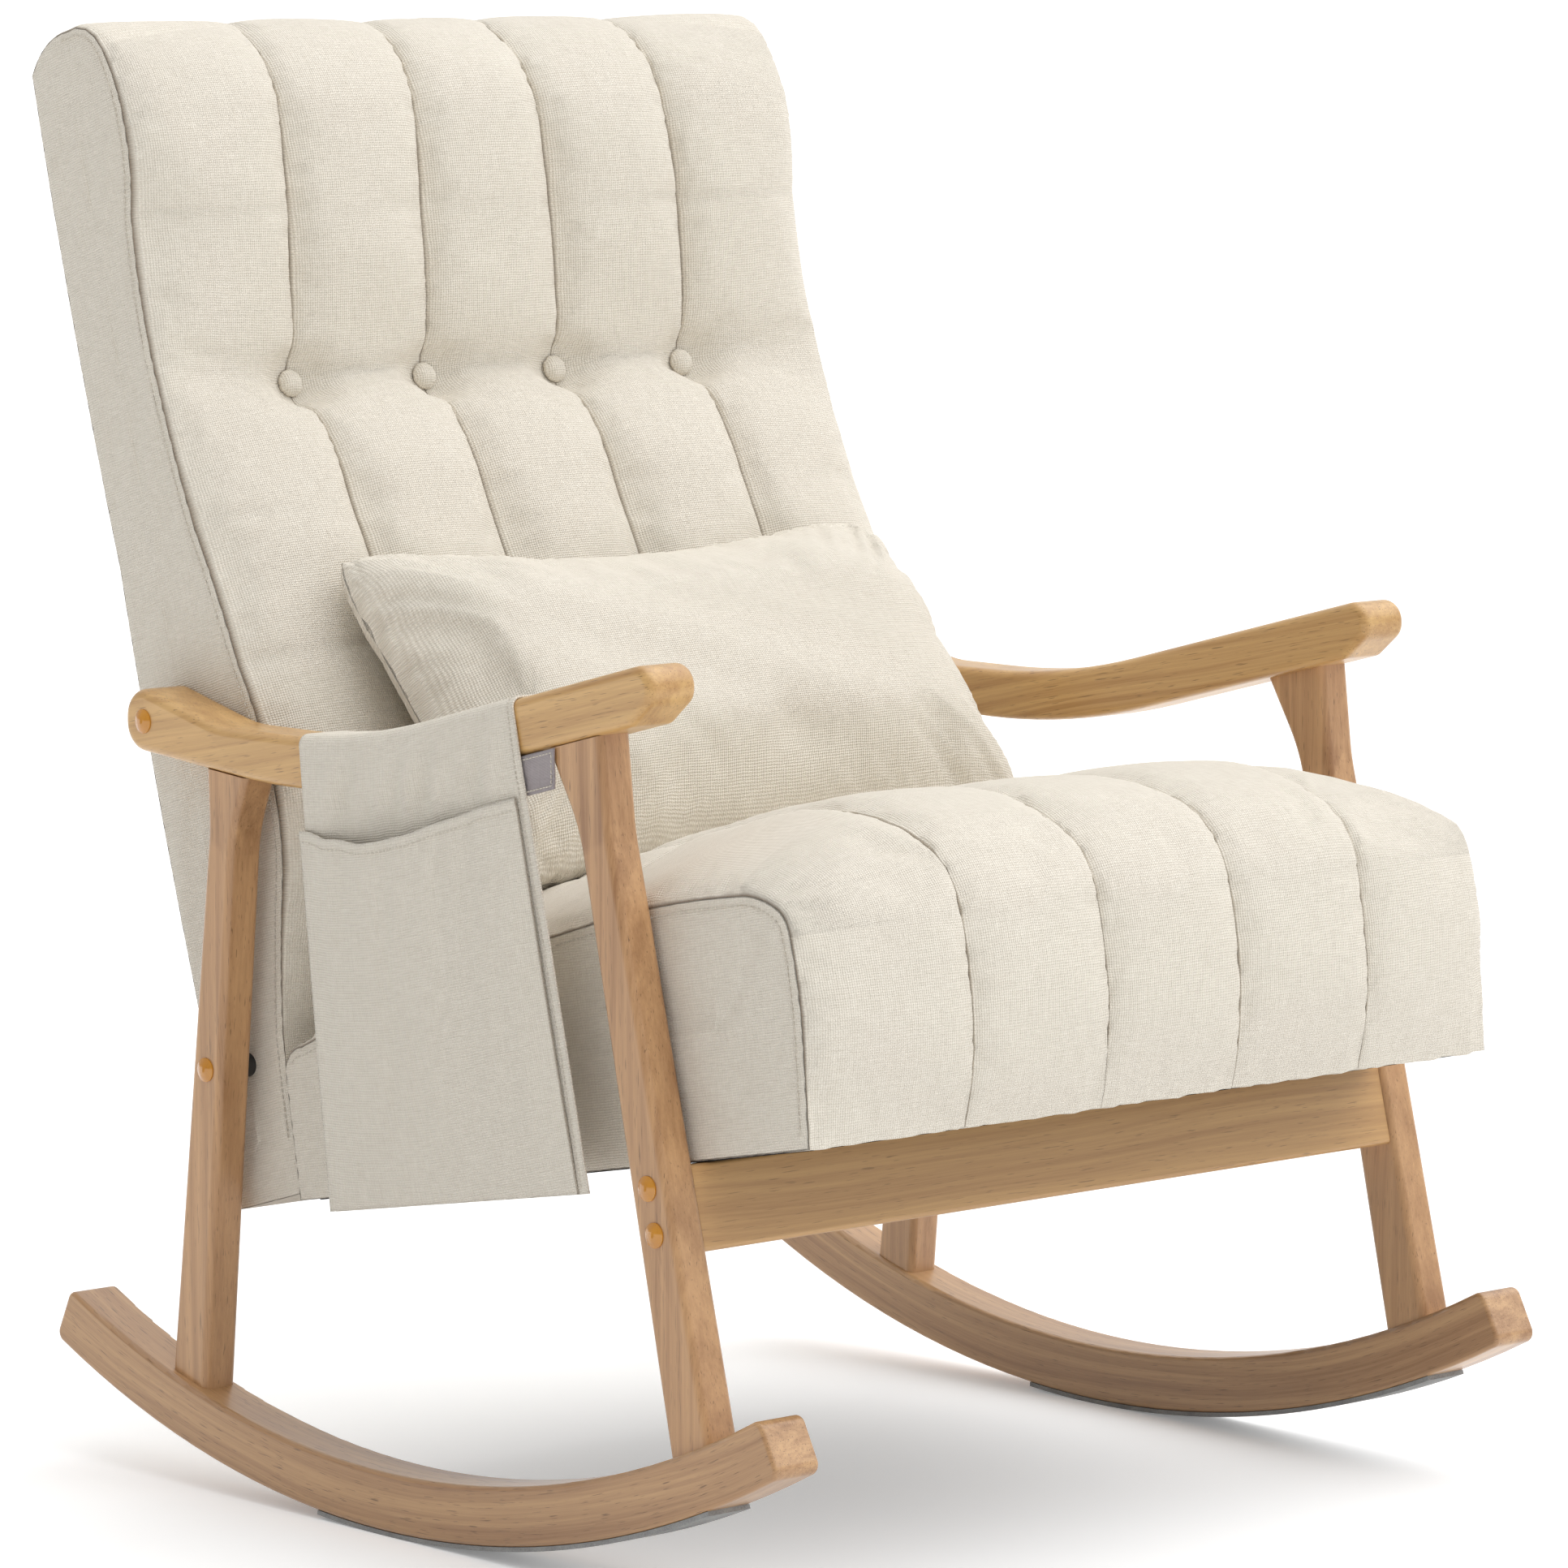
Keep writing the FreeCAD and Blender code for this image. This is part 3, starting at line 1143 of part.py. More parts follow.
def rear_opening(gap):
    half = size.back_half_width - margin - gap
    return block((-half, half), (-deep, size.back_stile_set_in),
                 (margin + gap, size.back_stile_foot + size.back_stile_height - gap))


keep(cut("back_cover", soft("back_cover_stock", skin.cut(rear_opening(0)), BACK), *side_tools,
         *unit_holes, *twine_holes), "back_cover")
keep(soft("back_rear_panel", skin.common(rear_opening(size.pad_gap)), BACK), "back_rear_panel")
in_one("seat_back_bolts", *[
    joined(f"seat_back_bolt_{name}", unit_bolt(side, "Shank", "unit_bolt_radius", BOLT_RUN),
           unit_bolt(side, "Head", "unit_bolt_head_radius", "0", "unit_bolt_head_height"))
    for name, side in SIDES.items()])

# Loose pillow


def pillow_form(inset):
    """A pillow round its own middle: crowned front and rear, with all four sides drawn in."""
    half = size.pillow_half_width - inset
    wires = []
    for place, drawn, crowned in PILLOW_SHARES:
        x = place * half
        top = size.pillow_height / 2 - size.pillow_draw_in * drawn - inset
        edge = size.pillow_edge / 2 - inset
        front = -edge - (size.pillow_front_crown - size.pillow_edge / 2) * crowned
        rear = edge + (size.pillow_rear_crown - size.pillow_edge / 2) * crowned
        corners = [Vector(x, -edge, -top), Vector(x, edge, -top), Vector(x, edge, top),
                   Vector(x, -edge, top)]
        wires.append(Part.Wire([
            Part.LineSegment(corners[0], corners[1]).toShape(),
            Part.Arc(corners[1], Vector(x, rear, 0), corners[2]).toShape(),
            Part.LineSegment(corners[2], corners[3]).toShape(),
            Part.Arc(corners[3], Vector(x, front, 0), corners[0]).toShape(),
        ]))
    form = Part.makeLoft(wires, True, False)
    drawn = size.pillow_side_draw_in
    bend = (size.pillow_height ** 2 / 4 + drawn ** 2) / (2 * drawn)
    far = size.pillow_half_width - drawn + bend
    depth = size.pillow_front_crown + size.pillow_rear_crown
    hollows = [Part.makeCylinder(bend + inset, 2 * depth, Vector(side * far, -depth, 0), AXIS_Y)
               for side in (-1, 1)]
    return form.cut(hollows)


def slices(shape):
    """Outlines of a shape at places from the middle to the pillow's left end."""
    return [Part.Compound(shape.slice(AXIS_X, share * size.pillow_half_width))
            for share in SLICE_SHARES]


def settle(form, places, gap):
    """Lowers a form on to the seat and slides it back to the back, leaving a small gap. Where
    the two cross, the form goes back a step."""
    seat, back = places
    move = Vector(0, 0, 0)
    for _ in range(SETTLING_STEPS):
        for way, support in ((-AXIS_Z, seat), (AXIS_Y, back)):
            distances = []
            for outline, other in zip(form, support):
                moved = outline.copy()
                moved.translate(move)
                distances.append(moved.distToShape(other)[0])
            free = min(distances)
            move += way * (free - gap if free > TINY else -size.pillow_retreat)
    return move


SETTLING_STEPS = 9
SLICE_SHARES = (0.02, 0.25, 0.5, 0.75, 0.9)
lean = Rotation(-AXIS_X, size.pillow_lean)
rise = Vector(0, -size.pillow_start_rise, size.pillow_start_rise)
outer_seat = seat_form(0)
outer_seat.Placement = pieces["seat_cover"].Base.Placement
outer_back = back_form(0)
outer_back.Placement = pieces["back_cover"].Base.Placement
middle = Vector(0, size.seat_rear - size.pillow_height / 4,
                size.seat_rear_height + size.seat_middle_height + size.pillow_height / 2)
probe = pillow_form(0)
probe.Placement = Placement(middle + rise, lean)
supports = (slices(outer_seat), slices(outer_back))
rest = middle + rise + settle(slices(probe), supports, size.pillow_rest_gap)
rest += Vector(0, -2 * size.pillow_rest_gap, 2 * size.pillow_rest_gap)
print(f"pillow rests at y {rest.y:.1f}, z {rest.z:.1f}")
shell = pillow_form(0).cut(pillow_form(size.pillow_cover_thick))
half_slot = size.pillow_slot_length / 2
slot = Part.makeBox(size.pillow_slot_length, size.pillow_slot_width, size.pillow_height / 2,
                    Vector(-half_slot, -size.pillow_slot_width / 2, -size.pillow_height / 2))
filling = pillow_form(size.pillow_cover_thick + size.pad_gap)
slot = slot.cut(Part.makeBox(size.pillow_slot_length, size.pillow_slot_width,
                             size.pillow_height / 4,
                             Vector(-half_slot, -size.pillow_slot_width / 2,
                                    -size.pillow_height / 4)))
for label, shape in (("pillow_cover", shell.cut(slot)), ("pillow_filling", filling)):
    feature = doc.addObject("Part::Feature", label)
    feature.Shape = shape
    feature.Placement = Placement(rest, lean)
    keep(feature, label)

# Pocket over the right arm
ARM_TOP_BEND_START = value(ARM_TOP_DIP) + size.arm_dip_round * math.tan(
    math.radians(size.arm_top_slope / 2))


def arm_top(y):
    """Height of the arm's upper face at a place in Y."""
    slope = math.tan(math.radians(size.arm_top_slope))
    vertex = value(ARM_TOP_DIP)
    flat = size.arm_top_flat_height
    reach = ARM_TOP_BEND_START - vertex
    if y >= ARM_TOP_BEND_START:
        return flat
    if y <= vertex - reach * math.cos(math.radians(size.arm_top_slope)):
        return flat + slope * (vertex - y)
    across = ARM_TOP_BEND_START - y
    return flat + size.arm_dip_round - math.sqrt(size.arm_dip_round ** 2 - across ** 2)


def blend(first, second, share):
    return first + (second - first) * share


def hanging(station):
    """Where the cloth hangs from at a station, the way that it hangs and how far."""
    share = station[0]
    y = blend(size.pocket_top_rear, size.pocket_top_front, share)
    top = Vector(0, y, arm_top(y))
    bottom = Vector(0, blend(size.pocket_bottom_rear, size.pocket_bottom_front, share),
                    blend(size.pocket_bottom_rear_height, size.pocket_bottom_front_height, share))
    return top, (bottom - top).normalize(), (bottom - top).Length


def hung(station, outline):
    """A closed section of hanging cloth at a station. The outline holds outward and downward
    distances from the arm's upper outer edge."""
    top, down, _ = hanging(station)

    def place(point):
        return top + down * point.y - AXIS_X * (size.arm_inner + size.arm_width + point.x)

    return Part.Wire(edges_of([(place(corner), middle and place(middle))
                               for corner, middle in outline]))


def drape(station):
    """The hanger's section: inner flap, over the arm, and down the outside."""
    drop = hanging(station)[2]
    near = size.pad_gap
    far = near + size.cloth_thick
    width = size.arm_width
    turn = size.arm_edge_round
    bulge = size.pocket_fold * station[1]
    diagonal = math.sqrt(0.5)

    def corner(side, reach, at):
        """Start, middle or end of the cloth's turn over an edge of the arm."""
        x = -turn if side > 0 else turn - width
        ways = {"side": (side, 0), "middle": (side * diagonal, -diagonal), "top": (0, -1)}
        return Vector(x + ways[at][0] * (turn + reach), turn + ways[at][1] * (turn + reach), 0)

    half = drop / 2
    return [
        (Vector(-width - near, size.pocket_flap_length, 0), None),
        (corner(-1, near, "side"), corner(-1, near, "middle")),
        (corner(-1, near, "top"), None),
        (corner(1, near, "top"), corner(1, near, "middle")),
        (corner(1, near, "side"), Vector(near + bulge, half, 0)),
        (Vector(near, drop, 0), None),
        (Vector(far, drop, 0), Vector(far + bulge, half, 0)),
        (corner(1, far, "side"), corner(1, far, "middle")),
        (corner(1, far, "top"), None),
        (corner(-1, far, "top"), corner(-1, far, "middle")),
        (corner(-1, far, "side"), None),
        (Vector(-width - far, size.pocket_flap_length, 0), None),
    ]


def front_panel(station):
    """The pocket's outer panel: sewn at the bottom and sides, open at its mouth."""
    drop = hanging(station)[2]
    share, fold, opened, sag, belly = station
    near = 2 * size.pad_gap + size.cloth_thick
    mouth = size.pocket_mouth_drop + size.pocket_mouth_sag * sag
    half = (drop + mouth) / 2
    # the cloth behind bulges on an arc from the arm to the hem
    behind = size.pocket_fold * fold
    mouth_x = near + behind * (1 - (1 - 2 * mouth / drop) ** 2) + size.pocket_mouth_open * opened
    half_x = near + behind * (1 - (1 - 2 * half / drop) ** 2) + size.pocket_belly * belly
    hem = drop - size.pad_gap
    thick = size.cloth_thick
    return [
        (Vector(mouth_x, mouth, 0), Vector(half_x, half, 0)),
        (Vector(near, hem, 0), None),
        (Vector(near + thick, hem, 0), Vector(half_x + thick, half, 0)),
        (Vector(mouth_x + thick, mouth, 0), None),
    ]


for label, section_of in (("pocket_hanger", drape), ("pocket_front_panel", front_panel)):
    feature = doc.addObject("Part::Feature", label)
    feature.Shape = Part.makeLoft([hung(station, section_of(station))
                                   for station in POCKET_SHARES], True, False)
    feature.Placement = Placement()
    keep(feature, label)

STRAP = ("(-strap_start)", ARM_UNDER.format("(-strap_start)"), "arm_under_slope")
OUTER = "(arm_inner + arm_width)"
TAB = f"({OUTER} - 2 * pad_gap - strap_thick)"
INNER = "(arm_inner - 2 * pad_gap - cloth_thick)"
rise_box = leaning_box(STRAP, "Rise", f"-{INNER}", "0", "-strap_thick - pad_gap", "strap_thick",
                       "strap_under_length", "strap_inner_rise")
under_box = leaning_box(STRAP, "Under", f"-({OUTER} - 2 * pad_gap)", "0",
                        "-strap_thick - pad_gap", f"{OUTER} - 2 * pad_gap - {INNER} + strap_thick",
                        "strap_under_length", "strap_thick")
tab_box = leaning_box(STRAP, "Tab", f"-({OUTER} - 2 * pad_gap)", "0",
                      "-strap_tab_height - pad_gap", "strap_thick", "strap_length",
                      "strap_tab_height")
keep(joined("pocket_strap", rise_box, under_box, tab_box), "pocket_strap")

# Checks and files
doc.recompute()
for item in doc.Objects:
    if {"Invalid", "Error"} & set(item.State):
        raise RuntimeError(f"{item.Name} did not build: {item.getStatusString()}")
for label, piece in pieces.items():
    if piece.Shape.isNull() or not piece.Shape.isValid() or not piece.Shape.Solids:
        raise RuntimeError(f"{label} has no sound solid")
    piece.Shape.exportStep(f"parts/{label}.step")
    room = piece.Shape.BoundBox
    print(f"{label}: {len(piece.Shape.Solids)} solid, {len(piece.Shape.Faces)} faces, volume"
          f" {piece.Shape.Volume / 1000:.1f} cm3, x {room.XMin:.1f} {room.XMax:.1f}, y {room.YMin:.1f}"
          f" {room.YMax:.1f}, z {room.ZMin:.1f} {room.ZMax:.1f}")
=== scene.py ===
"""Looks for the upholstered rocking chair: cloth, padding, stitching and wood over the frame."""
import math
import random

import bmesh
import bpy
import numpy as np
from mathutils import Matrix, Vector


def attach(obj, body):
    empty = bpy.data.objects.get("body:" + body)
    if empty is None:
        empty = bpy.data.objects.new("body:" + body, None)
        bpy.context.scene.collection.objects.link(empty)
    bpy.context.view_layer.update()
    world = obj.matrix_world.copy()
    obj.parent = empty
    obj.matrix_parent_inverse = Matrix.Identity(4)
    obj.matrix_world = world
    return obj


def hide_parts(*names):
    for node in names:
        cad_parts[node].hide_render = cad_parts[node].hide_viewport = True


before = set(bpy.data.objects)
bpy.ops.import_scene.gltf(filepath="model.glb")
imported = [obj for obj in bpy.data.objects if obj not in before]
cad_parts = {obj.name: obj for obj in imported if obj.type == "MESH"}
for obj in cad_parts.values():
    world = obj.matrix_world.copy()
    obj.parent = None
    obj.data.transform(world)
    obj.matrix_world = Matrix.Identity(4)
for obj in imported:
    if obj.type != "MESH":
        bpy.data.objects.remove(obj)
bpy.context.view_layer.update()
MM = 0.001


# Shader nodes

def material(name):
    made = bpy.data.materials.new(name)
    made.use_nodes = True
    return made, made.node_tree, made.node_tree.nodes["Principled BSDF"]


def node(tree, kind, values=None, **settings):
    """Adds a shader node, with its inputs set to numbers or linked to sockets."""
    made = tree.nodes.new("ShaderNode" + kind)
    for key, value in settings.items():
        setattr(made, key, value)
    for key, value in (values or {}).items():
        if isinstance(value, bpy.types.NodeSocket):
            tree.links.new(value, made.inputs[key])
        else:
            made.inputs[key].default_value = value
    return made


def maths(tree, operation, *terms):
    return node(tree, "Math", dict(enumerate(terms)), operation=operation).outputs[0]


def mapped(tree, vector, scale, turn=(0, 0, 0)):
    return node(tree, "Mapping", {"Vector": vector, "Scale": scale, "Rotation": turn}).outputs[0]


def noise(tree, vector, scale, detail=3, roughness=0.5, distortion=0):
    return node(tree, "TexNoise", {"Vector": vector, "Scale": scale, "Detail": detail,
                                   "Roughness": roughness, "Distortion": distortion}).outputs[0]


def ramp(tree, factor, *stops):
    made = node(tree, "ValToRGB", {"Fac": factor})
    elements = made.color_ramp.elements
    while len(elements) < len(stops):
        elements.new(0.5)
    for element, (place, colour) in zip(elements, stops):
        element.position = place
        element.color = (*colour, 1)
    return made.outputs[0]


def mixed(tree, factor, first, second, way="MIX"):
    first = first if isinstance(first, bpy.types.NodeSocket) else (*first, 1)
    second = second if isinstance(second, bpy.types.NodeSocket) else (*second, 1)
    return node(tree, "Mix", {0: factor, 6: first, 7: second}, data_type="RGBA",
                blend_type=way).outputs[2]


def level(tree, factor, low, high, start=0, end=1):
    return node(tree, "MapRange", {"Value": factor, "From Min": start, "From Max": end,
                                   "To Min": low, "To Max": high}).outputs[0]


def set_bump(tree, shader, height, strength, distance, normal=None):
    values = {"Height": height, "Strength": strength, "Distance": distance}
    if normal is not None:
        values["Normal"] = normal
    made = node(tree, "Bump", values).outputs[0]
    tree.links.new(made, shader.inputs["Normal"])
    return made


def plug(tree, shader, **values):
    for key, value in values.items():
        key = key.replace("_", " ")
        if isinstance(value, bpy.types.NodeSocket):
            tree.links.new(value, shader.inputs[key])
        else:
            shader.inputs[key].default_value = value


def object_space(tree):
    return node(tree, "TexCoord").outputs["Object"]


SEAM_SHADE = (0.23, 0.17, 0.115)


def linen(name, light, dark, pitch=1.6 * MM):
    """Plain-weave cloth counted along the piece's own cloth directions. The third number of the
    cloth attribute is the distance to the nearest seam."""
    made, tree, shader = material(name)
    parts = node(tree, "SeparateXYZ", {0: node(tree, "Attribute",
                                               attribute_name="cloth").outputs["Vector"]})
    cloth = node(tree, "CombineXYZ", {0: parts.outputs[0], 1: parts.outputs[1]}).outputs[0]
    # two sets of threads that drift a little and go over and under each other
    drift = noise(tree, cloth, 45, 2)
    waves = []
    for axis in (0, 1):
        run = maths(tree, "MULTIPLY", parts.outputs[axis], math.pi / pitch)
        waves.append(maths(tree, "SINE", maths(tree, "ADD", run,
                                               maths(tree, "MULTIPLY", drift, 3.0))))
    squares = [maths(tree, "MULTIPLY", wave, wave) for wave in waves]
    over = maths(tree, "MULTIPLY_ADD", maths(tree, "MULTIPLY", *waves), 0.5, 0.5)
    weave = node(tree, "Mix", {0: over, 2: squares[0], 3: squares[1]}).outputs[0]
    # uneven threads, and broad patches of tone
    warp = noise(tree, mapped(tree, cloth, (640, 60, 1)), 1, 2, 0.6)
    weft = noise(tree, mapped(tree, cloth, (70, 680, 1)), 1, 2, 0.6)
    threads = maths(tree, "MULTIPLY_ADD", warp, 0.5, maths(tree, "MULTIPLY", weft, 0.5))
    patches = noise(tree, cloth, 9, 3)
    tone = maths(tree, "MULTIPLY_ADD", weave, 0.4, maths(tree, "MULTIPLY_ADD", threads, 0.8,
                                                         maths(tree, "MULTIPLY", patches, 0.12)))
    colour = ramp(tree, tone, (0.3, dark), (0.86, light))
    # painted seam shade: a dark line where the cloth goes down into a seam
    sewn = level(tree, parts.outputs[2], 0.85, 0.0, 0.1 * MM, 0.75 * MM)
    colour = mixed(tree, sewn, colour, SEAM_SHADE)
    plug(tree, shader, Base_Color=colour, Roughness=level(tree, threads, 0.85, 0.98),
         Sheen_Weight=0.15, Sheen_Roughness=0.6, Specular_IOR_Level=0.15)
    fine = set_bump(tree, shader, weave, 0.9, 0.7 * MM)
    set_bump(tree, shader, threads, 0.4, 0.5 * MM, fine)
    return made


def wood(name, light, dark, along=(0, 0, 0), radius=None, depth=0.5):
    """Lacquered light hardwood. Its grain runs along Y turned by the given angles, or round a
    centre that lies one radius straight above the floor."""
    made, tree, shader = material(name)
    space = object_space(tree)
    if radius:
        parts = node(tree, "SeparateXYZ", {0: space})
        high = maths(tree, "SUBTRACT", radius, parts.outputs[2])
        across = maths(tree, "SQRT", maths(tree, "ADD", maths(tree, "MULTIPLY", high, high),
                                           maths(tree, "MULTIPLY", parts.outputs[1],
                                                 parts.outputs[1])))
        run = maths(tree, "MULTIPLY", maths(tree, "ARCTAN2", parts.outputs[1], high), radius)
        board = node(tree, "CombineXYZ", {0: parts.outputs[0], 1: run, 2: across}).outputs[0]
    else:
        board = mapped(tree, space, (1, 1, 1), along)
    # the grain wanders: growth rings, streaks, fine fibres and short open pores along it
    bend = noise(tree, mapped(tree, board, (10, 1.6, 10)), 1, 2)
    moved = node(tree, "VectorMath", {0: board, 1: node(tree, "CombineXYZ", {
        0: maths(tree, "MULTIPLY", bend, 0.03), 1: 0.0,
        2: maths(tree, "MULTIPLY", bend, 0.045)}).outputs[0]}, operation="ADD").outputs[0]
    years = noise(tree, mapped(tree, moved, (55, 1.3, 120)), 1, 3, 0.55)
    streaks = noise(tree, mapped(tree, moved, (300, 5, 420)), 1, 4, 0.65)
    fine = noise(tree, mapped(tree, board, (900, 22, 1300)), 1, 3, 0.6)
    pores = noise(tree, mapped(tree, board, (1100, 60, 1300)), 1, 1, 0.4)
    dashes = level(tree, pores, 0.0, 1.0, 0.66, 0.74)
    tone = maths(tree, "MULTIPLY_ADD", years, 0.55 * depth + 0.3,
                 maths(tree, "MULTIPLY_ADD", streaks, 0.32, maths(tree, "MULTIPLY", fine, 0.16)))
    colour = ramp(tree, tone, (0.4, dark), (0.52, tuple((a + b) / 2 for a, b in zip(light, dark))),
                  (0.64, light))
    stain = mixed(tree, maths(tree, "MULTIPLY", dashes, 0.75), colour,
                  tuple(channel * 0.42 for channel in dark))
    # painted highlight: the colour is lighter on the rounded edges, where the lacquer catches the
    # light
    painted_edge_highlight = level(tree, node(tree, "NewGeometry").outputs["Pointiness"], 0.0, 0.25, 0.52, 0.6)
    colour = mixed(tree, painted_edge_highlight, stain, tuple(min(1, c * 1.25) for c in light))
    plug(tree, shader, Base_Color=colour, Roughness=level(tree, streaks, 0.3, 0.46),
         Coat_Weight=0.35, Coat_Roughness=level(tree, fine, 0.16, 0.3), Specular_IOR_Level=0.5)
    set_bump(tree, shader, maths(tree, "SUBTRACT", streaks, dashes), 0.12, 0.3 * MM)
    return made


def speckled(name, light, dark, scale, roughness=(0.4, 0.6), metal=0.0, bump=0.2, coat=0.0):
    """A plain surface with fine mottling: plastics, plated steel, felt and nonwoven cloth."""
    made, tree, shader = material(name)
    space = object_space(tree)
    grain = noise(tree, space, scale, 4, 0.65)
    broad = noise(tree, space, scale / 12, 2)
    tone = maths(tree, "MULTIPLY_ADD", grain, 0.6, maths(tree, "MULTIPLY", broad, 0.4))
    plug(tree, shader, Base_Color=ramp(tree, tone, (0.32, dark), (0.68, light)),
         Roughness=level(tree, tone, *roughness, 0.3, 0.7), Metallic=metal, Coat_Weight=coat)
    set_bump(tree, shader, grain, bump, 0.4 * MM)
    return made


LINEN = linen("linen", (0.88, 0.825, 0.725), (0.66, 0.595, 0.495))
LINING = linen("lining", (0.58, 0.52, 0.53), (0.42, 0.36, 0.37), 0.7 * MM)
THREAD = speckled("thread", (0.74, 0.69, 0.6), (0.5, 0.45, 0.38), 2600, (0.6, 0.8))
# ways that the grain runs, and the radius of the rockers' curve in metres
UPRIGHT, ACROSS, ALONG_ARM = (math.pi / 2, 0, 0), (0, 0, math.pi / 2), (0.2, 0, 0)
ROCKER_RADIUS = 0.813
WOOD_LEG = wood("wood_leg", (0.55, 0.315, 0.148), (0.31, 0.15, 0.06), UPRIGHT)
WOOD_ROCKER = wood("wood_rocker", (0.57, 0.34, 0.165), (0.34, 0.175, 0.077), radius=ROCKER_RADIUS)
WOOD_ARM = wood("wood_arm", (0.65, 0.40, 0.155), (0.44, 0.232, 0.075), ALONG_ARM)
WOOD_RAIL = wood("wood_rail", (0.57, 0.335, 0.135), (0.37, 0.19, 0.07), ACROSS)
WOOD_PLAIN = wood("wood_plain", (0.66, 0.5, 0.33), (0.5, 0.35, 0.2), ACROSS, depth=0.2)
WOOD_STILE = wood("wood_stile", (0.66, 0.5, 0.33), (0.5, 0.35, 0.2), UPRIGHT, depth=0.2)
WOOD_DOWEL = wood("wood_dowel", (0.7, 0.55, 0.38), (0.55, 0.4, 0.24), depth=0.1)
FELT = speckled("felt", (0.42, 0.42, 0.41), (0.22, 0.22, 0.22), 900, (0.9, 1.0), bump=0.8)
STEEL = speckled("zinc_steel", (0.62, 0.62, 0.63), (0.42, 0.42, 0.44), 700, (0.25, 0.42),
                 metal=1.0, bump=0.1)
CAP = speckled("cap_plastic", (0.62, 0.27, 0.02), (0.48, 0.18, 0.012), 60, (0.1, 0.18), bump=0.03,
               coat=0.6)
BLACK = speckled("black_plastic", (0.03, 0.03, 0.03), (0.015, 0.015, 0.015), 900, (0.4, 0.55))
DUST = speckled("dust_cloth", (0.03, 0.03, 0.032), (0.008, 0.008, 0.009), 1500, (0.85, 1.0),
                bump=0.7)
WEBBING = speckled("webbing", (0.5, 0.42, 0.3), (0.3, 0.23, 0.15), 1200, (0.85, 1.0), bump=0.7)
WHITE = speckled("hook_tape", (0.85, 0.85, 0.83), (0.6, 0.6, 0.58), 2400, (0.7, 0.9), bump=0.9)


# Frame parts that stay as they are

KEPT = {
    WOOD_ROCKER: ("rocker_right", "rocker_left"),
    WOOD_LEG: ("front_leg_right", "front_leg_left", "rear_leg_right", "rear_leg_left"),
    WOOD_ARM: ("armrest_right", "armrest_left"),
    WOOD_RAIL: ("front_rail",),
    WOOD_PLAIN: ("seat_front_board", "seat_rear_board", "seat_cross_rail", "seat_corner_blocks",
                 "back_top_rail", "back_button_rail", "back_bottom_rail"),
    WOOD_STILE: ("seat_side_rail_right", "seat_side_rail_left", "back_stile_right",
                 "back_stile_left"),
    WOOD_DOWEL: ("dowels_right", "dowels_left"),
    FELT: ("rocker_felt_right", "rocker_felt_left"),
    STEEL: ("rail_bolts", "rear_leg_bolts", "arm_bolts", "bolt_washers", "rail_barrel_nuts",
            "frame_inserts", "seat_rail_screws", "seat_back_bolts"),
    CAP: ("bolt_caps",),
    BLACK: ("rear_spacers",),
    DUST: ("seat_dust_cover",),
    WEBBING: ("seat_webbing", "back_webbing", "button_twines"),
}
for finish, names in KEPT.items():
    for name in names:
        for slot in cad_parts[name].material_slots:
            slot.material = finish


# Mesh building

def add_object(name, points, faces, finish, cloth=None, sharp=None, reach=None):
    mesh = bpy.data.meshes.new(name)
    mesh.from_pydata([tuple(p) for p in np.asarray(points, float)], [], faces)
    if cloth is not None:
        layer = mesh.attributes.new("cloth", "FLOAT_VECTOR", "POINT")
        layer.data.foreach_set("vector", np.asarray(cloth, np.float32).ravel())
    if reach is not None:
        layer = mesh.attributes.new("reach", "FLOAT", "POINT")
        layer.data.foreach_set("value", np.asarray(reach, np.float32))
    mesh.materials.append(finish)
    mesh.validate()
    tidy_up = bmesh.new()
    tidy_up.from_mesh(mesh)
    bmesh.ops.remove_doubles(tidy_up, verts=tidy_up.verts, dist=0.02 * MM)
    bmesh.ops.recalc_face_normals(tidy_up, faces=tidy_up.faces)
    tidy_up.to_mesh(mesh)
    tidy_up.free()
    mesh.shade_smooth()
    if sharp:
        mesh.set_sharp_from_angle(angle=math.radians(sharp))
    made = bpy.data.objects.new(name, mesh)
    bpy.context.scene.collection.objects.link(made)
    return made


def grid_faces(rows, columns, start=0, round_columns=False):
    faces = []
    for r in range(rows - 1):
        for c in range(columns if round_columns else columns - 1):
            a, b = start + r * columns, start + (r + 1) * columns
            n = (c + 1) % columns
            faces.append((a + c, a + n, b + n, b + c))
    return faces


def closed_sheets(rows, columns):
    """Faces of two equal grids of points, one behind the other, closed round their border."""
    count = rows * columns
    faces = grid_faces(rows, columns) + grid_faces(rows, columns, count)
    border = ([(0, c) for c in range(columns)] + [(r, columns - 1) for r in range(1, rows)]
              + [(rows - 1, c) for c in range(columns - 2, -1, -1)]
              + [(r, 0) for r in range(rows - 2, 0, -1)])
    ids = [r * columns + c for r, c in border]
    for at, after in zip(ids, ids[1:] + ids[:1]):
        faces.append((at, after, after + count, at + count))
    return faces


def arc(first, middle, last, count):
    """Points on the circle through three points, from the first up to just before the last."""
    first, last = np.array(first, float), np.array(last, float)
    share = np.linspace(0, 1, count, endpoint=False)[:, None]
    if middle is None:
        return first + (last - first) * share
    middle = np.array(middle, float)
    a, b = middle - first, last - first
    cross = 2 * (a[0] * b[1] - a[1] * b[0])
    if abs(cross) < 1e-6:
        return first + (last - first) * share
    centre = first + np.array([b[1] * (a @ a) - a[1] * (b @ b),
                               a[0] * (b @ b) - b[0] * (a @ a)]) / cross
    spokes = [math.atan2(*(p - centre)[::-1]) for p in (first, middle, last)]
    way = 1 if cross > 0 else -1
    sweep = (spokes[2] - spokes[0]) * way % (2 * math.pi) * way
    radius = np.linalg.norm(first - centre)
    angle = spokes[0] + sweep * share[:, 0]
    return centre + radius * np.stack([np.cos(angle), np.sin(angle)], 1)


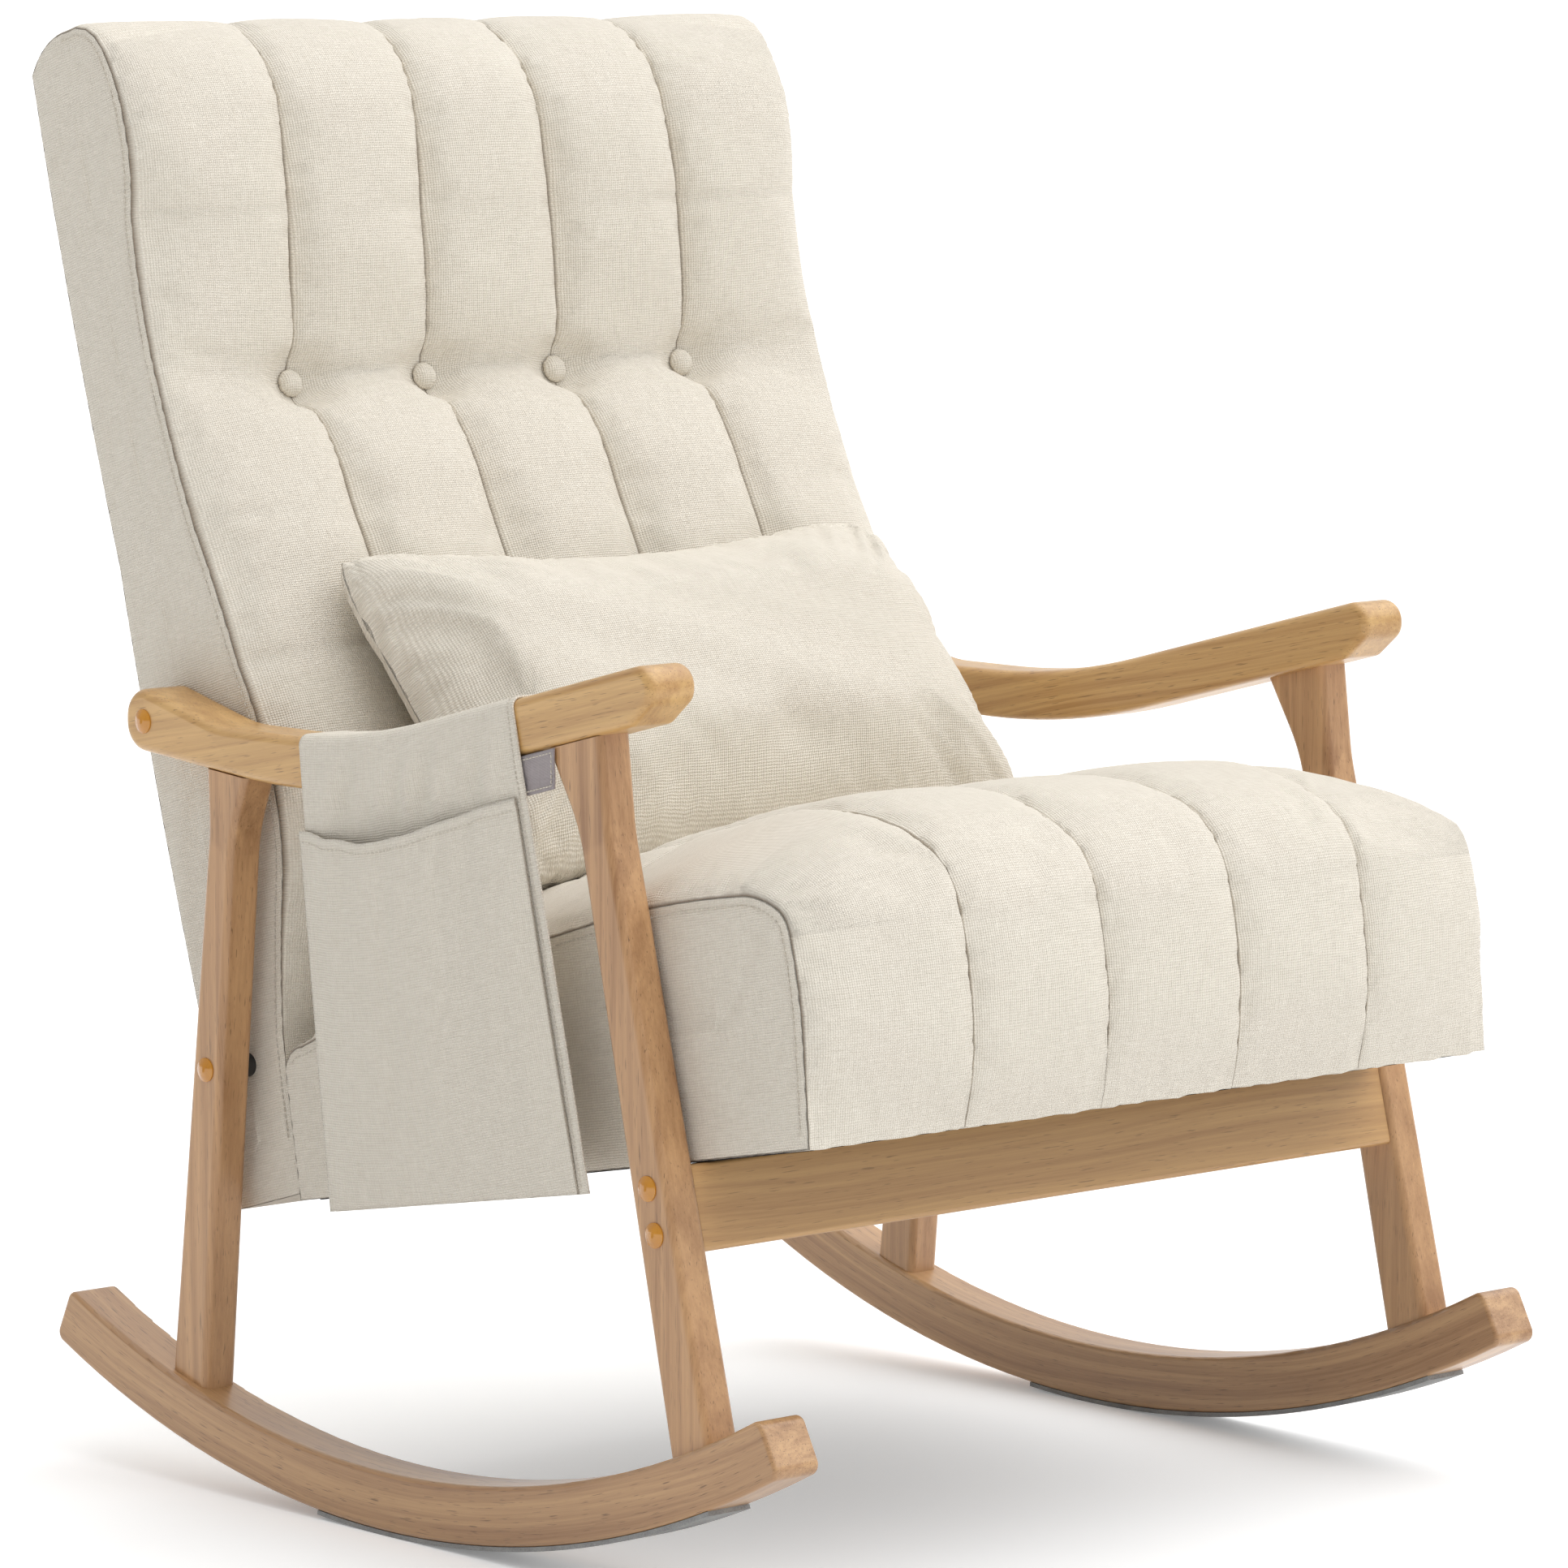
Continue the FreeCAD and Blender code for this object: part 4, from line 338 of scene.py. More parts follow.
def outline(rows, counts):
    corners = [row[0] for row in rows]
    return np.concatenate([arc(row[0], row[1], corners[(i + 1) % len(rows)], counts[i])
                           for i, row in enumerate(rows)])


def counts_for(rows, step):
    corners = [np.array(row[0], float) for row in rows]
    return [max(2, round(np.linalg.norm(corners[(i + 1) % len(rows)] - corners[i]) / step))
            for i in range(len(rows))]


def outward(points):
    """Outward unit normals of a closed outline that turns anticlockwise."""
    along = np.roll(points, -1, 0) - np.roll(points, 1, 0)
    normal = np.stack([along[:, 1], -along[:, 0]], 1)
    return normal / np.linalg.norm(normal, axis=1)[:, None]


def run_length(points):
    steps = np.linalg.norm(np.diff(points, axis=0), axis=-1)
    return np.concatenate([[0], np.cumsum(steps)])


def ripples(values, waves, seed):
    """A smooth uneven wave between about -1 and 1."""
    rng = random.Random(seed)
    total = np.zeros_like(values)
    for wave in waves:
        total += math.sqrt(1 / len(waves)) * np.sin(values * 2 * math.pi / wave
                                                    + rng.uniform(0, 6.28))
    return total


def in_unit(origin, lean, x, forward, up):
    """Points of a leaning unit, from distances in mm along its own directions."""
    lean = math.radians(lean)
    out = np.empty(np.broadcast(x, forward, up).shape + (3,))
    out[..., 0] = x
    out[..., 1] = origin[0] - forward * math.cos(lean) + up * math.sin(lean)
    out[..., 2] = origin[1] + forward * math.sin(lean) + up * math.cos(lean)
    return out * MM


# Seat and back cushions. Each row of an outline is a corner, the middle of the arc from there to
# the next corner (None for a straight run), and for the seams the share of the full crown. The
# numbers are mm forward of and above the unit's lower rear edge.

SEAT_SIDE = [((0, 0), None), ((501, 0), (504.5, 33)), ((508, 67), (509.5, 99)),
             ((508, 128), (506, 138)), ((501, 145), (485, 153.5)), ((467, 157), (390, 157.5)),
             ((315, 151), (215, 137.5)), ((110, 117), (63, 108.8)), ((21, 99), (8, 95)),
             ((1, 85), None)]
SEAT_SEAM = [((0, 0), None, 0), ((506, 0), (517, 31), 0), ((524, 64), (526, 97), 0.9),
             ((525, 127), (519.5, 152), 1), ((506, 170), (478, 187), 1),
             ((438, 199), (372, 202), 1), ((300, 195.5), (200, 184), 1),
             ((110, 168), (62, 156), 1), ((28, 135), (16.5, 117), 0.7), ((2, 94), None, 0)]
BACK_SIDE = [((0, 0), None), ((68.7, 0), (72, 50)), ((78.5, 104), (90, 148)),
             ((104, 190), (113.5, 222)), ((117, 261), (112.5, 305)), ((103, 345), (95, 392)),
             ((84, 440), (77, 490)), ((73, 539), (72, 600)), ((78, 655), (86, 684)),
             ((88.5, 716), (86.6, 742)), ((79.6, 767), (66, 784)), ((45, 788), (18, 784)),
             ((0, 770), (-5, 600)), ((-3, 433), (-7, 230))]
BACK_SEAM = [((0, 0), None, 0), ((68.7, 0), (72, 50), 0), ((78.5, 104), (98, 140), 0),
             ((119, 190), (128.5, 222), 0.85), ((132, 261), (127.5, 308), 1),
             ((118, 345), (111, 392), 1), ((100, 445), (86, 500), 1), ((60, 539), (76, 591), 0.85),
             ((87, 650), (92.5, 682), 1.05), ((94.6, 716), (87.5, 752), 1),
             ((66, 780), (56, 786), 0.5), ((45, 788), (18, 784), 0.15), ((0, 770), (-5, 600), 0),
             ((-3, 433), (-7, 230), 0)]
# the lower rear edge of each unit at (y, z) in mm, and its lean in degrees
SEAT_PLACE = ((130, 195.5), 10.8)
BACK_PLACE = ((200, 180), 16.3)
SEAT_HALF, BACK_HALF = 298, 292.7
SEAT_CROWN, BACK_CROWN = 7.6, 14.6
SEAMS = (-174, -58, 58, 174)
BUTTON_ROW, BUTTON_BASE, DIMPLE_FLOOR = 539, 61.6, 59.5
STATIONS = 20          # across each channel
OUTLINE_STEP = 5
CROWN_POWER = 0.64     # below 1: the channels rise steeply beside their seams
SIDE_RINGS = (0.012, 0.03, 0.06, 0.1, 0.16, 0.25, 0.37, 0.5, 0.65, 0.82, 0.97)
SIDE_PROUD, SPINE_PROUD, TOPSTITCH_OUT = 1.5, 1.9, 1.75
SHARP_EDGE = 38        # degrees
# how far in mm the filling may move a point: at a seam's edge, more on a crown, on a boxed side
SEAM_REACH, CROWN_REACH, SIDE_REACH = 0.2, 3.8, 0.02


def channel_stations(half_width):
    """Places across a cushion, close together beside the seams: place, share of the side's
    outline, height of the crown, and distance from the nearest seam."""
    painted_edge_highlight = (-half_width, *SEAMS, half_width)
    stations = []
    for number in range(5):
        low, high = painted_edge_highlight[number], painted_edge_highlight[number + 1]
        for k in range(STATIONS + (number == 4)):
            turn = math.pi * k / STATIONS
            share = 0.5 - 0.5 * math.cos(turn)
            side = {0: 1 - share, 4: share}.get(number, 0)
            place = low + (high - low) * share
            stations.append((place, side, max(0, math.sin(turn)) ** CROWN_POWER,
                             min(place - low, high - place)))
    return np.array(stations)


def values_of(mesh, name, kind, width):
    """A point attribute's numbers, one row for each point."""
    values = np.empty(len(mesh.vertices) * width, np.float32)
    mesh.attributes[name].data.foreach_get(kind, values)
    return values.reshape(-1, width)


FILLING_FRAMES = 20


def blown(made, growth):
    """Fills a closed cover by a short cloth simulation that holds the seams, moves no point
    further than its reach, and keeps the result."""
    mesh = made.data
    reach = values_of(mesh, "reach", "value", 1)
    seams = np.flatnonzero(values_of(mesh, "cloth", "vector", 3)[:, 2] < 0.3 * MM)
    mesh.attributes.remove(mesh.attributes["reach"])
    start = values_of(mesh, "position", "vector", 3)
    held = made.vertex_groups.new(name="held")
    held.add([int(i) for i in seams], 1.0, "REPLACE")
    cloth = made.modifiers.new("filling", "CLOTH")
    cloth.settings.quality = 3
    cloth.settings.mass = 0.25
    cloth.settings.tension_stiffness = 25
    cloth.settings.compression_stiffness = 25
    cloth.settings.shear_stiffness = 10
    cloth.settings.bending_stiffness = 0.4
    cloth.settings.use_pressure = True
    cloth.settings.uniform_pressure_force = 4
    cloth.settings.shrink_min = -growth
    cloth.settings.vertex_group_mass = "held"
    cloth.settings.effector_weights.gravity = 0
    cloth.collision_settings.use_collision = False
    cloth.point_cache.frame_end = FILLING_FRAMES
    for moment in range(1, FILLING_FRAMES + 1):
        bpy.context.scene.frame_set(moment)
    done = made.evaluated_get(bpy.context.evaluated_depsgraph_get()).data
    move = values_of(done, "position", "vector", 3) - start
    made.modifiers.remove(cloth)
    made.vertex_groups.remove(held)
    bpy.context.scene.frame_set(1)
    far = np.maximum(np.linalg.norm(move, axis=1)[:, None], 1e-9)
    moved = start + move * reach * np.tanh(far / reach) / far
    mesh.attributes["position"].data.foreach_set("vector", moved.astype(np.float32).ravel())
    mesh.update()


def averaged(values, width):
    """A closed run of numbers, each averaged with its neighbours."""
    kernel = np.hanning(width) / np.hanning(width).sum()
    beyond = width // 2
    return np.convolve(np.concatenate([values[-beyond:], values, values[:beyond]]), kernel,
                       "valid")


def eased(points):
    """Rounds the crease along the row of buttons and the bends below it."""
    soft = np.stack([averaged(points[:, i], 9) for i in (0, 1)], 1)
    middle, spread = 470, 120
    near = (points[:, 0] > 30) * np.exp(-((points[:, 1] - middle) / spread) ** 6)
    return points + (soft - points) * near[:, None]


def boxed_side(name, side, spine, place, way, half_width, length):
    """A boxed side as rings from its seam in to a spine, a little proud of the frame: points,
    places on the cloth, and how far the filling may move them."""
    foot, head = (np.array(p, float) for p in spine)
    tall = np.linalg.norm(head - foot)
    axis = (head - foot) / tall
    middle = foot + np.clip((side - foot) @ axis, 0, tall)[:, None] * axis
    points, cloth, reach = [], [], []
    for ring in SIDE_RINGS:
        at = side + (middle - side) * ring
        gap = np.linalg.norm(at - side, axis=1)
        out = SIDE_PROUD * (1 - np.exp(-gap / 5)) + 0.6 * ripples(
            length + 140 * ring, (97, 173), name + str(way)) * min(1, ring * 6)
        out = out + 0.3 * ripples(length, (7.7, 11.3, 17.9), name) * np.exp(-gap / 7)
        points.append(in_unit(*place, way * (half_width + out), at[:, 0], at[:, 1]))
        cloth.append(np.stack([at[:, 0] * MM + 2, at[:, 1] * MM, gap * MM], 1))
        reach.append(np.full(len(side), SIDE_REACH + 0.5 * max(0, 0.4 - ring)))
    out = np.full(len(side), way * (half_width + SPINE_PROUD))
    points.append(in_unit(*place, out, middle[:, 0], middle[:, 1]))
    cloth.append(np.stack([middle[:, 0] * MM + 2, middle[:, 1] * MM, np.ones(len(side))], 1))
    reach.append(np.full(len(side), SIDE_REACH))
    return points, cloth, reach


def cushion(name, side_rows, seam_rows, place, half_width, crown, extra, spine):
    """A closed cushion of five crowned channels between two boxed sides."""
    counts = counts_for(seam_rows, OUTLINE_STEP)
    side, seam = outline(side_rows, counts), outline(seam_rows, counts)
    shares = [row[2] for row in seam_rows]
    crowned = np.concatenate([np.linspace(shares[i], shares[(i + 1) % len(shares)], n,
                                          endpoint=False) for i, n in enumerate(counts)])
    crowned = averaged(crowned, 15)
    seam = eased(seam)
    # normals of a softer line, so that the crowns don't meet in a sharp line in the crease
    seam_normal, side_normal = outward(eased(eased(seam))), outward(side)
    length = run_length(np.concatenate([seam, seam[:1]]))[:-1]
    stations = channel_stations(half_width)
    x = stations[:, 0][:, None]
    share, height, near = (stations[:, i][:, None] for i in (1, 2, 3))
    profile = side[None] * share[..., None] + seam[None] * (1 - share[..., None])
    normal = side_normal[None] * share[..., None] + seam_normal[None] * (1 - share[..., None])
    normal /= np.linalg.norm(normal, axis=2)[..., None]
    lift = crown * crowned[None] * height
    # the sewing pulls short puckers in beside every seam, and the padding is a little uneven
    pull = ripples(length[None] + 3 * np.sin(x / 9), (9.1, 13.7, 21.3), name) * 0.24
    lift = lift + pull * np.exp(-near / 8) * np.minimum(1, near / 1.5) * (crowned[None] > 0.05)
    lift = lift + 0.9 * ripples(length[None] + 0.4 * x, (83, 131, 211), name + "soft") * (
        np.sin(np.clip(height, 0, 1) * math.pi / 2) * np.minimum(1, crowned[None] * 2))
    lift, x_grid = extra(x + 0 * profile[..., 0], profile, lift, near)
    points = profile + normal * lift[..., None]
    surface = in_unit(*place, x_grid, points[..., 0], points[..., 1])
    cloth = np.stack([x_grid * MM, np.broadcast_to(length * MM, x_grid.shape),
                      np.broadcast_to(near * MM, x_grid.shape)], -1)
    rows_count, columns = surface.shape[:2]
    # the filling moves little along the row of buttons, where the cloth is held down
    calm = 1 - 0.85 * np.exp(-((profile[..., 1] - BUTTON_ROW) / 45) ** 2)
    reach = SEAM_REACH + CROWN_REACH * crowned[None] * np.minimum(1, near / 4) * calm
    layers = [surface.reshape(-1, 3)], [cloth.reshape(-1, 3)], [reach.ravel()]
    faces = grid_faces(rows_count, columns, round_columns=True)
    for way, row in ((-1, 0), (1, rows_count - 1)):
        first, edge = sum(len(part) for part in layers[0]), row * columns
        for layer, more in zip(layers, boxed_side(name, side, spine, place, way, half_width,
                                                  length)):
            layer += more
        for c in range(columns):
            n = (c + 1) % columns
            faces.append((edge + c, edge + n, first + n, first + c))
        faces += grid_faces(len(SIDE_RINGS) + 1, columns, first, round_columns=True)
    points, cloth, reach = (np.concatenate(layer) for layer in layers)
    made = add_object(name, points, faces, LINEN, cloth, SHARP_EDGE, reach * MM)
    blown(made, 0.02)
    return made, side


def seat_extra(x, profile, lift, near):
    """Short upright puckers over the front's lower edge, where the cover is pulled under."""
    forward, up = profile[..., 0], profile[..., 1]
    low = np.exp(-((up - 6) / 16) ** 2) * (forward > 480)
    lift = lift + low * 0.8 * ripples(x, (11.3, 17.1, 29.7), "front edge")
    return lift, x


def back_extra(x, profile, lift, near):
    """The row of buttons: a soft crease across, a dimple and short folds round each button. The
    upright seams draw together towards the top."""
    forward, up = profile[..., 0], profile[..., 1]
    front = (forward > 30) & (up > 300)
    crease = np.exp(-((up - BUTTON_ROW) / 20) ** 2)
    folds = ripples(x, (8.7, 13.9, 24.1), "crease") * crease * np.exp(-near / 40)
    lift = lift + np.where(front, 0.35 * folds - 0.6 * crease, 0)
    for seam in SEAMS:
        off_x, off_up = x - seam, up - BUTTON_ROW
        away = np.hypot(off_x, off_up)
        angle = np.arctan2(off_up, off_x)
        spokes = np.sin(9 * angle + seam) + 0.5 * np.sin(5 * angle + 2 * seam)
        ring = np.exp(-((away - 21) / 9) ** 2)
        drawn = np.exp(-np.hypot(off_x / 25, off_up / 18) ** 3)
        lift = np.where(front, lift * (1 - drawn) + (DIMPLE_FLOOR - forward) * drawn
                        + 0.4 * spokes * ring, lift)
    rise = np.clip((up - 600) / 188, 0, 1) ** 1.5
    inner = np.clip(np.abs(x) / SEAMS[2], 0, 1)
    outer = np.clip((BACK_HALF - np.abs(x)) / (BACK_HALF - SEAMS[3]), 0, 1)
    return lift, x - np.sign(x) * 8 * rise * np.minimum(inner, outer)


THREAD_WIDTH = 0.45 * MM


def stitches(name, path, normals, pitch):
    """A line of sewing stitches along a path, each a short thread that dips in at both ends."""
    path, normals = np.asarray(path, float), np.asarray(normals, float)
    along = run_length(path)
    points, faces = [], []
    for start in np.arange(pitch / 2, along[-1] - pitch, pitch):
        ring_start = len(points)
        for k, (share, sunk, thin) in enumerate(((0.0, -0.9, 0.5), (0.22, 0.25, 1.0),
                                                 (0.5, 0.45, 1.05), (0.78, 0.25, 1.0),
                                                 (1.0, -0.9, 0.5))):
            at = start + pitch * 0.8 * share
            centre = np.array([np.interp(at, along, path[:, i]) for i in range(3)])
            ahead = np.array([np.interp(at + 1e-4, along, path[:, i]) for i in range(3)]) - centre
            up = np.array([np.interp(at, along, normals[:, i]) for i in range(3)])
            up /= np.linalg.norm(up)
            across = np.cross(ahead / np.linalg.norm(ahead), up)
            centre = centre + up * sunk * THREAD_WIDTH
            for side in range(6):
                turn = math.pi / 3 * side
                points.append(centre + (across * math.cos(turn) + up * math.sin(turn))
                              * THREAD_WIDTH * thin)
        faces += grid_faces(5, 6, ring_start, round_columns=True)
        faces.append(tuple(range(ring_start, ring_start + 6))[::-1])
        faces.append(tuple(range(ring_start + 24, ring_start + 30)))
    return add_object(name, points, faces, THREAD)


def side_stitching(name, side, place, half_width, inset, keep):
    """Topstitching beside both side seams, a little in from the edge."""
    normal = outward(side)
    line = side - normal * inset
    chosen = line[keep(side)]
    for way, word in ((-1, "right"), (1, "left")):
        path = in_unit(*place, np.full(len(chosen), way * (half_width + TOPSTITCH_OUT)),
                       chosen[:, 0], chosen[:, 1])
        facing = np.tile([way, 0, 0], (len(chosen), 1))
        made = stitches(f"{name}_{word}", path, facing, 4.2 * MM)
        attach(made, "chair")


seat, seat_side_line = cushion("seat_cushion", SEAT_SIDE, SEAT_SEAM, SEAT_PLACE, SEAT_HALF,
                               SEAT_CROWN, seat_extra, ((75, 52), (430, 78)))
back, back_side_line = cushion("back_cushion", BACK_SIDE, BACK_SEAM, BACK_PLACE, BACK_HALF,
                               BACK_CROWN, back_extra, ((34, 40), (38, 740)))
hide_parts("seat_cover", "seat_foam")
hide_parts("back_cover", "back_foam")
for piece in (seat, back):
    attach(piece, "chair")
side_stitching("seat_topstitch", seat_side_line, SEAT_PLACE, SEAT_HALF, 6,
               lambda line: (line[:, 1] > 4) & (line[:, 0] > 3))
side_stitching("back_topstitch", back_side_line, BACK_PLACE, BACK_HALF, 5,
               lambda line: (line[:, 0] > 30) & (line[:, 1] > 30))


# Rear panel of the back, sewn in a little proud of the padding
def rear_panel():
    half, low, high = 281.4, 11.3, 741.7
    rear = outline([row[:2] for row in BACK_SEAM], counts_for(BACK_SEAM, 6))
    rear = rear[(rear[:, 0] < 2)]
    order = np.argsort(rear[:, 1])
    ups = np.linspace(low, high, 150)
    depths = np.interp(ups, rear[order][:, 1], rear[order][:, 0])
    xs = np.linspace(-half, half, 120)
    x, up = np.meshgrid(xs, ups)
    depth = np.repeat(depths[:, None], len(xs), 1)
    edge = np.minimum(np.minimum(half - np.abs(x), up - low), high - up)
    proud = 1.7 * (1 - np.exp(-np.clip(edge, 0, None) / 4)) + 0.25
    proud += 0.5 * np.exp(-edge / 9) * ripples(x + up, (9.3, 15.1, 26), "rear") * (edge > 1)
    front = in_unit(*BACK_PLACE, x, depth - proud, up)
    inner = in_unit(*BACK_PLACE, x, depth + 1.2, up)
    cloth = np.stack([x * MM, up * MM, np.clip(edge, 0, None) * MM], -1).reshape(-1, 3)
    made = add_object("back_rear_cloth", np.concatenate([front.reshape(-1, 3),
                                                         inner.reshape(-1, 3)]),
                      closed_sheets(*x.shape), LINEN, np.concatenate([cloth, cloth]),
                      sharp=50)
    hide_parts("back_rear_panel")
    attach(made, "chair")
    around = [(-half + 5, low + 5), (half - 5, low + 5), (half - 5, high - 5),
              (-half + 5, high - 5), (-half + 5, low + 5)]
    path = []
    for (x0, u0), (x1, u1) in zip(around, around[1:]):
        steps = max(2, int(math.hypot(x1 - x0, u1 - u0) / 12))
        path += [(x0 + (x1 - x0) * k / steps, u0 + (u1 - u0) * k / steps) for k in range(steps)]
    path = np.array(path)
    depth = np.interp(path[:, 1], ups, depths) - 1.5
    lean = math.radians(BACK_PLACE[1])
    line = stitches("back_rear_topstitch", in_unit(*BACK_PLACE, path[:, 0], depth, path[:, 1]),
                    np.tile([0, math.cos(lean), -math.sin(lean)], (len(path), 1)), 4.5 * MM)
    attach(line, "chair")


rear_panel()


# Cloth-covered buttons

def covered_button(number, x):
    """A domed button in the same cloth, gathered behind its rim."""
    rings = ((0, 6.4), (1.6, 6.3), (3.4, 5.95), (5.2, 5.3), (6.9, 4.3), (8.3, 2.9), (9.2, 1.5),
             (9.45, 0.5), (9.1, -0.3), (8.0, -0.6), (5.0, -0.6))
    points, cloth = [], []
    for radius, height in rings:
        for k in range(40):
            turn = 2 * math.pi * k / 40
            pinch = 1 + (0.018 * math.sin(9 * turn + number) if radius > 6 else 0)
            across, up = (radius * pinch * f(turn) for f in (math.cos, math.sin))
            points.append(in_unit(*BACK_PLACE, x + across, BUTTON_BASE + height,
                                  BUTTON_ROW + up))
            # the rim lies 0.6 mm from a seam, so it takes a little of the painted seam shade
            cloth.append(((x + across) * MM, up * MM + number, 1 if radius < 9.2 else 0.0006))
    faces = grid_faces(len(rings), 40, round_columns=True)
    faces.append(tuple(range(len(points) - 40, len(points))))
    made = add_object(f"back_button_cloth_{number}", points, faces, LINEN, cloth)
    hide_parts(f"back_button_{number}")
    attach(made, "chair")


for number, seam in enumerate(SEAMS, 1):
    covered_button(number, seam)


# Lumbar pillow

# how far the filling may push the pillow's front and rear
FRONT_REACH, REAR_REACH = 9 * MM, 5 * MM
PILLOW_PLACE, PILLOW_LEAN = Vector((0, 91.5, 502.8)), -41


def pillow():
    """A knife-edged pillow: front and rear crowns meet at a seam that draws in between its
    corners."""
    half, tall, front_crown, rear_crown = 232.5, 140.5, 63, 38
    columns, rows = 105, 65
    u = np.sin(np.linspace(-1, 1, columns) * math.pi / 2 * 0.94) / math.sin(math.pi * 0.47)
    v = np.sin(np.linspace(-1, 1, rows) * math.pi / 2 * 0.94) / math.sin(math.pi * 0.47)
    u, v = np.meshgrid(u, v)
    blunt = 1 - 0.05 * (np.clip(np.abs(u) + np.abs(v) - 1.6, 0, 1) / 0.4) ** 2
    x = u * (half - 7.5 * (1 - v ** 2)) * blunt
    z = v * (tall - 21.0 * np.clip(1 - u ** 2, 0, 1) ** 0.7) * blunt
    full = (np.clip(1 - np.abs(u) ** 7, 0, 1) ** 0.45) * (np.clip(1 - np.abs(v) ** 3.4, 0, 1)
                                                          ** 0.52)
    edge = 0.8
    # folds run in from the corners and off the seam
    corner = np.clip(np.abs(u) + np.abs(v) - 1, 0, 1)
    wave = ripples((np.abs(x) - np.abs(z)) * 1.0, (17.3, 27.1, 39.7), "pillow corner")
    gather = ripples(x + z, (9.9, 14.7, 23.3), "pillow seam")
    rim = np.minimum(half - np.abs(x), tall - np.abs(z))
    folds = 2.2 * wave * corner * (1 - corner) * 2 + 0.5 * gather * np.exp(-rim / 14) * np.minimum(
        1, rim / 4)
    broad = 1.3 * ripples(x * 0.8 + z * 1.7, (113, 171, 260), "pillow broad") * full
    front = -edge - (front_crown - edge) * full - folds - broad
    rear = edge + (rear_crown - edge) * full + 0.5 * folds
    lean = Matrix.Rotation(math.radians(PILLOW_LEAN), 3, "X")
    layers = []
    for depth in (front, rear):
        local = np.stack([x, depth, z], -1).reshape(-1, 3)
        layers.append((local @ np.array(lean).T + np.array(PILLOW_PLACE)) * MM)
    outer = np.ones_like(x)
    outer[[0, -1]] = 0.2 * MM
    outer[:, [0, -1]] = 0.2 * MM
    cloth = np.stack([x * MM, z * MM, outer], -1).reshape(-1, 3)
    free = np.where(outer.ravel() < 1, 0.05, 1)
    # only the front ring shows the painted seam shade, the seam's dark line
    made = add_object("lumbar_pillow", np.concatenate(layers), closed_sheets(rows, columns),
                      LINEN, np.concatenate([cloth, cloth * (1, 1, 0) + (1, 0, 1)]), 70,
                      np.concatenate([free * FRONT_REACH, free * REAR_REACH]))
    blown(made, 0.03)
    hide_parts("pillow_cover", "pillow_filling")
    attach(made, "pillow")


pillow()


# Pocket over the right arm

# share along the pocket: fold of the backing, mouth's opening, mouth's sag, belly, all 0 to 1
POCKET = [(0, 0.1, 0.02, 0.0, 0.02), (0.16, 1.0, 0.5, 0.45, 0.5), (0.34, 0.2, 0.95, 0.9, 0.85),
          (0.5, 0.9, 0.85, 0.8, 1.0), (0.67, 0.15, 0.55, 0.45, 0.9), (0.84, 0.8, 0.25, 0.15, 0.55),
          (1, 0.1, 0.02, 0.0, 0.02)]
ARM_OUTER, ARM_WIDTH = 332, 39
# the arm's top: level behind, a bend, and a slope up to its front end
ARM_LOW, ARM_HIGH, ARM_FRONT, ARM_SLOPE, BEND_RADIUS = 504.5, 579, -256, 14.3, 600
SLOPE = math.tan(math.radians(ARM_SLOPE))
DIP = (ARM_HIGH - ARM_LOW) / SLOPE + ARM_FRONT
DIP_REACH = BEND_RADIUS * math.tan(math.radians(ARM_SLOPE / 2))
# the pocket's ends over the arm, and at its foot: y, and height there
POCKET_TOP = (84, -127)
POCKET_FOOT = ((48, 203), (-200, 246))


def arm_top(y):
    if y >= DIP + DIP_REACH:
        return ARM_LOW
    if y <= DIP - DIP_REACH * math.cos(math.radians(ARM_SLOPE)):
        return ARM_LOW + SLOPE * (DIP - y)
    return ARM_LOW + BEND_RADIUS - math.sqrt(BEND_RADIUS ** 2 - (DIP + DIP_REACH - y) ** 2)


def pocket_shares(share):
    """The pocket's shares between its stations, run smoothly."""
    places = [row[0] for row in POCKET]
    values = []
    for column in range(1, 5):
        ys = [row[column] for row in POCKET]
        k = min(len(places) - 2, max(0, int(np.searchsorted(places, share, "right")) - 1))
        t = (share - places[k]) / (places[k + 1] - places[k])
        values.append(ys[k] + (ys[k + 1] - ys[k]) * t * t * (3 - 2 * t))
    return values


def pocket_line(share):
    """The line on which the pocket hangs at a share of its width: top, way down and drop."""
    y = POCKET_TOP[0] + (POCKET_TOP[1] - POCKET_TOP[0]) * share
    top = np.array([0, y, arm_top(y)])
    (rear, low), (fore, high) = POCKET_FOOT
    bottom = np.array([0, rear + (fore - rear) * share, low + (high - low) * share])
    drop = np.linalg.norm(bottom - top)
    return top, (bottom - top) / drop, drop


def pocket_place(line, out, down):
    top, way, _ = line
    return (top + way * down - np.array([1, 0, 0]) * (ARM_OUTER + out)) * MM


def thick_cloth(name, rows, thick, finish, cloth, sharp=60):
    """A sheet with a rounded edge all round, from the points of its middle surface."""
    rows = np.asarray(rows, float)
    count_r, count_c = rows.shape[:2]
    made = add_object(name, rows.reshape(-1, 3), grid_faces(count_r, count_c), finish,
                      np.asarray(cloth, float).reshape(-1, 3))
    solid = made.modifiers.new("thickness", "SOLIDIFY")
    solid.thickness = thick
    solid.offset = 0
    solid.use_quality_normals = True
    made.data.set_sharp_from_angle(angle=math.radians(sharp))
    return made


def edge_line(rows, shares, place):
    """A path along one station of a sheet, just above its outer face, and its normals."""
    rows = np.asarray(rows)
    at = np.argmin(np.abs(shares - place))
    line = rows[at]
    across = rows[min(at + 1, len(rows) - 1)] - rows[at - 1]
    along = np.gradient(line, axis=0)
    normal = np.cross(across, along)
    normal /= np.linalg.norm(normal, axis=1)[:, None]
    away = line - np.array([-0.3125, line[:, 1].mean(), 0.45])
    away[:, 1] = 0
    normal *= np.sign((normal * away).sum(1))[:, None]
    return line + normal * 0.95 * MM, normal


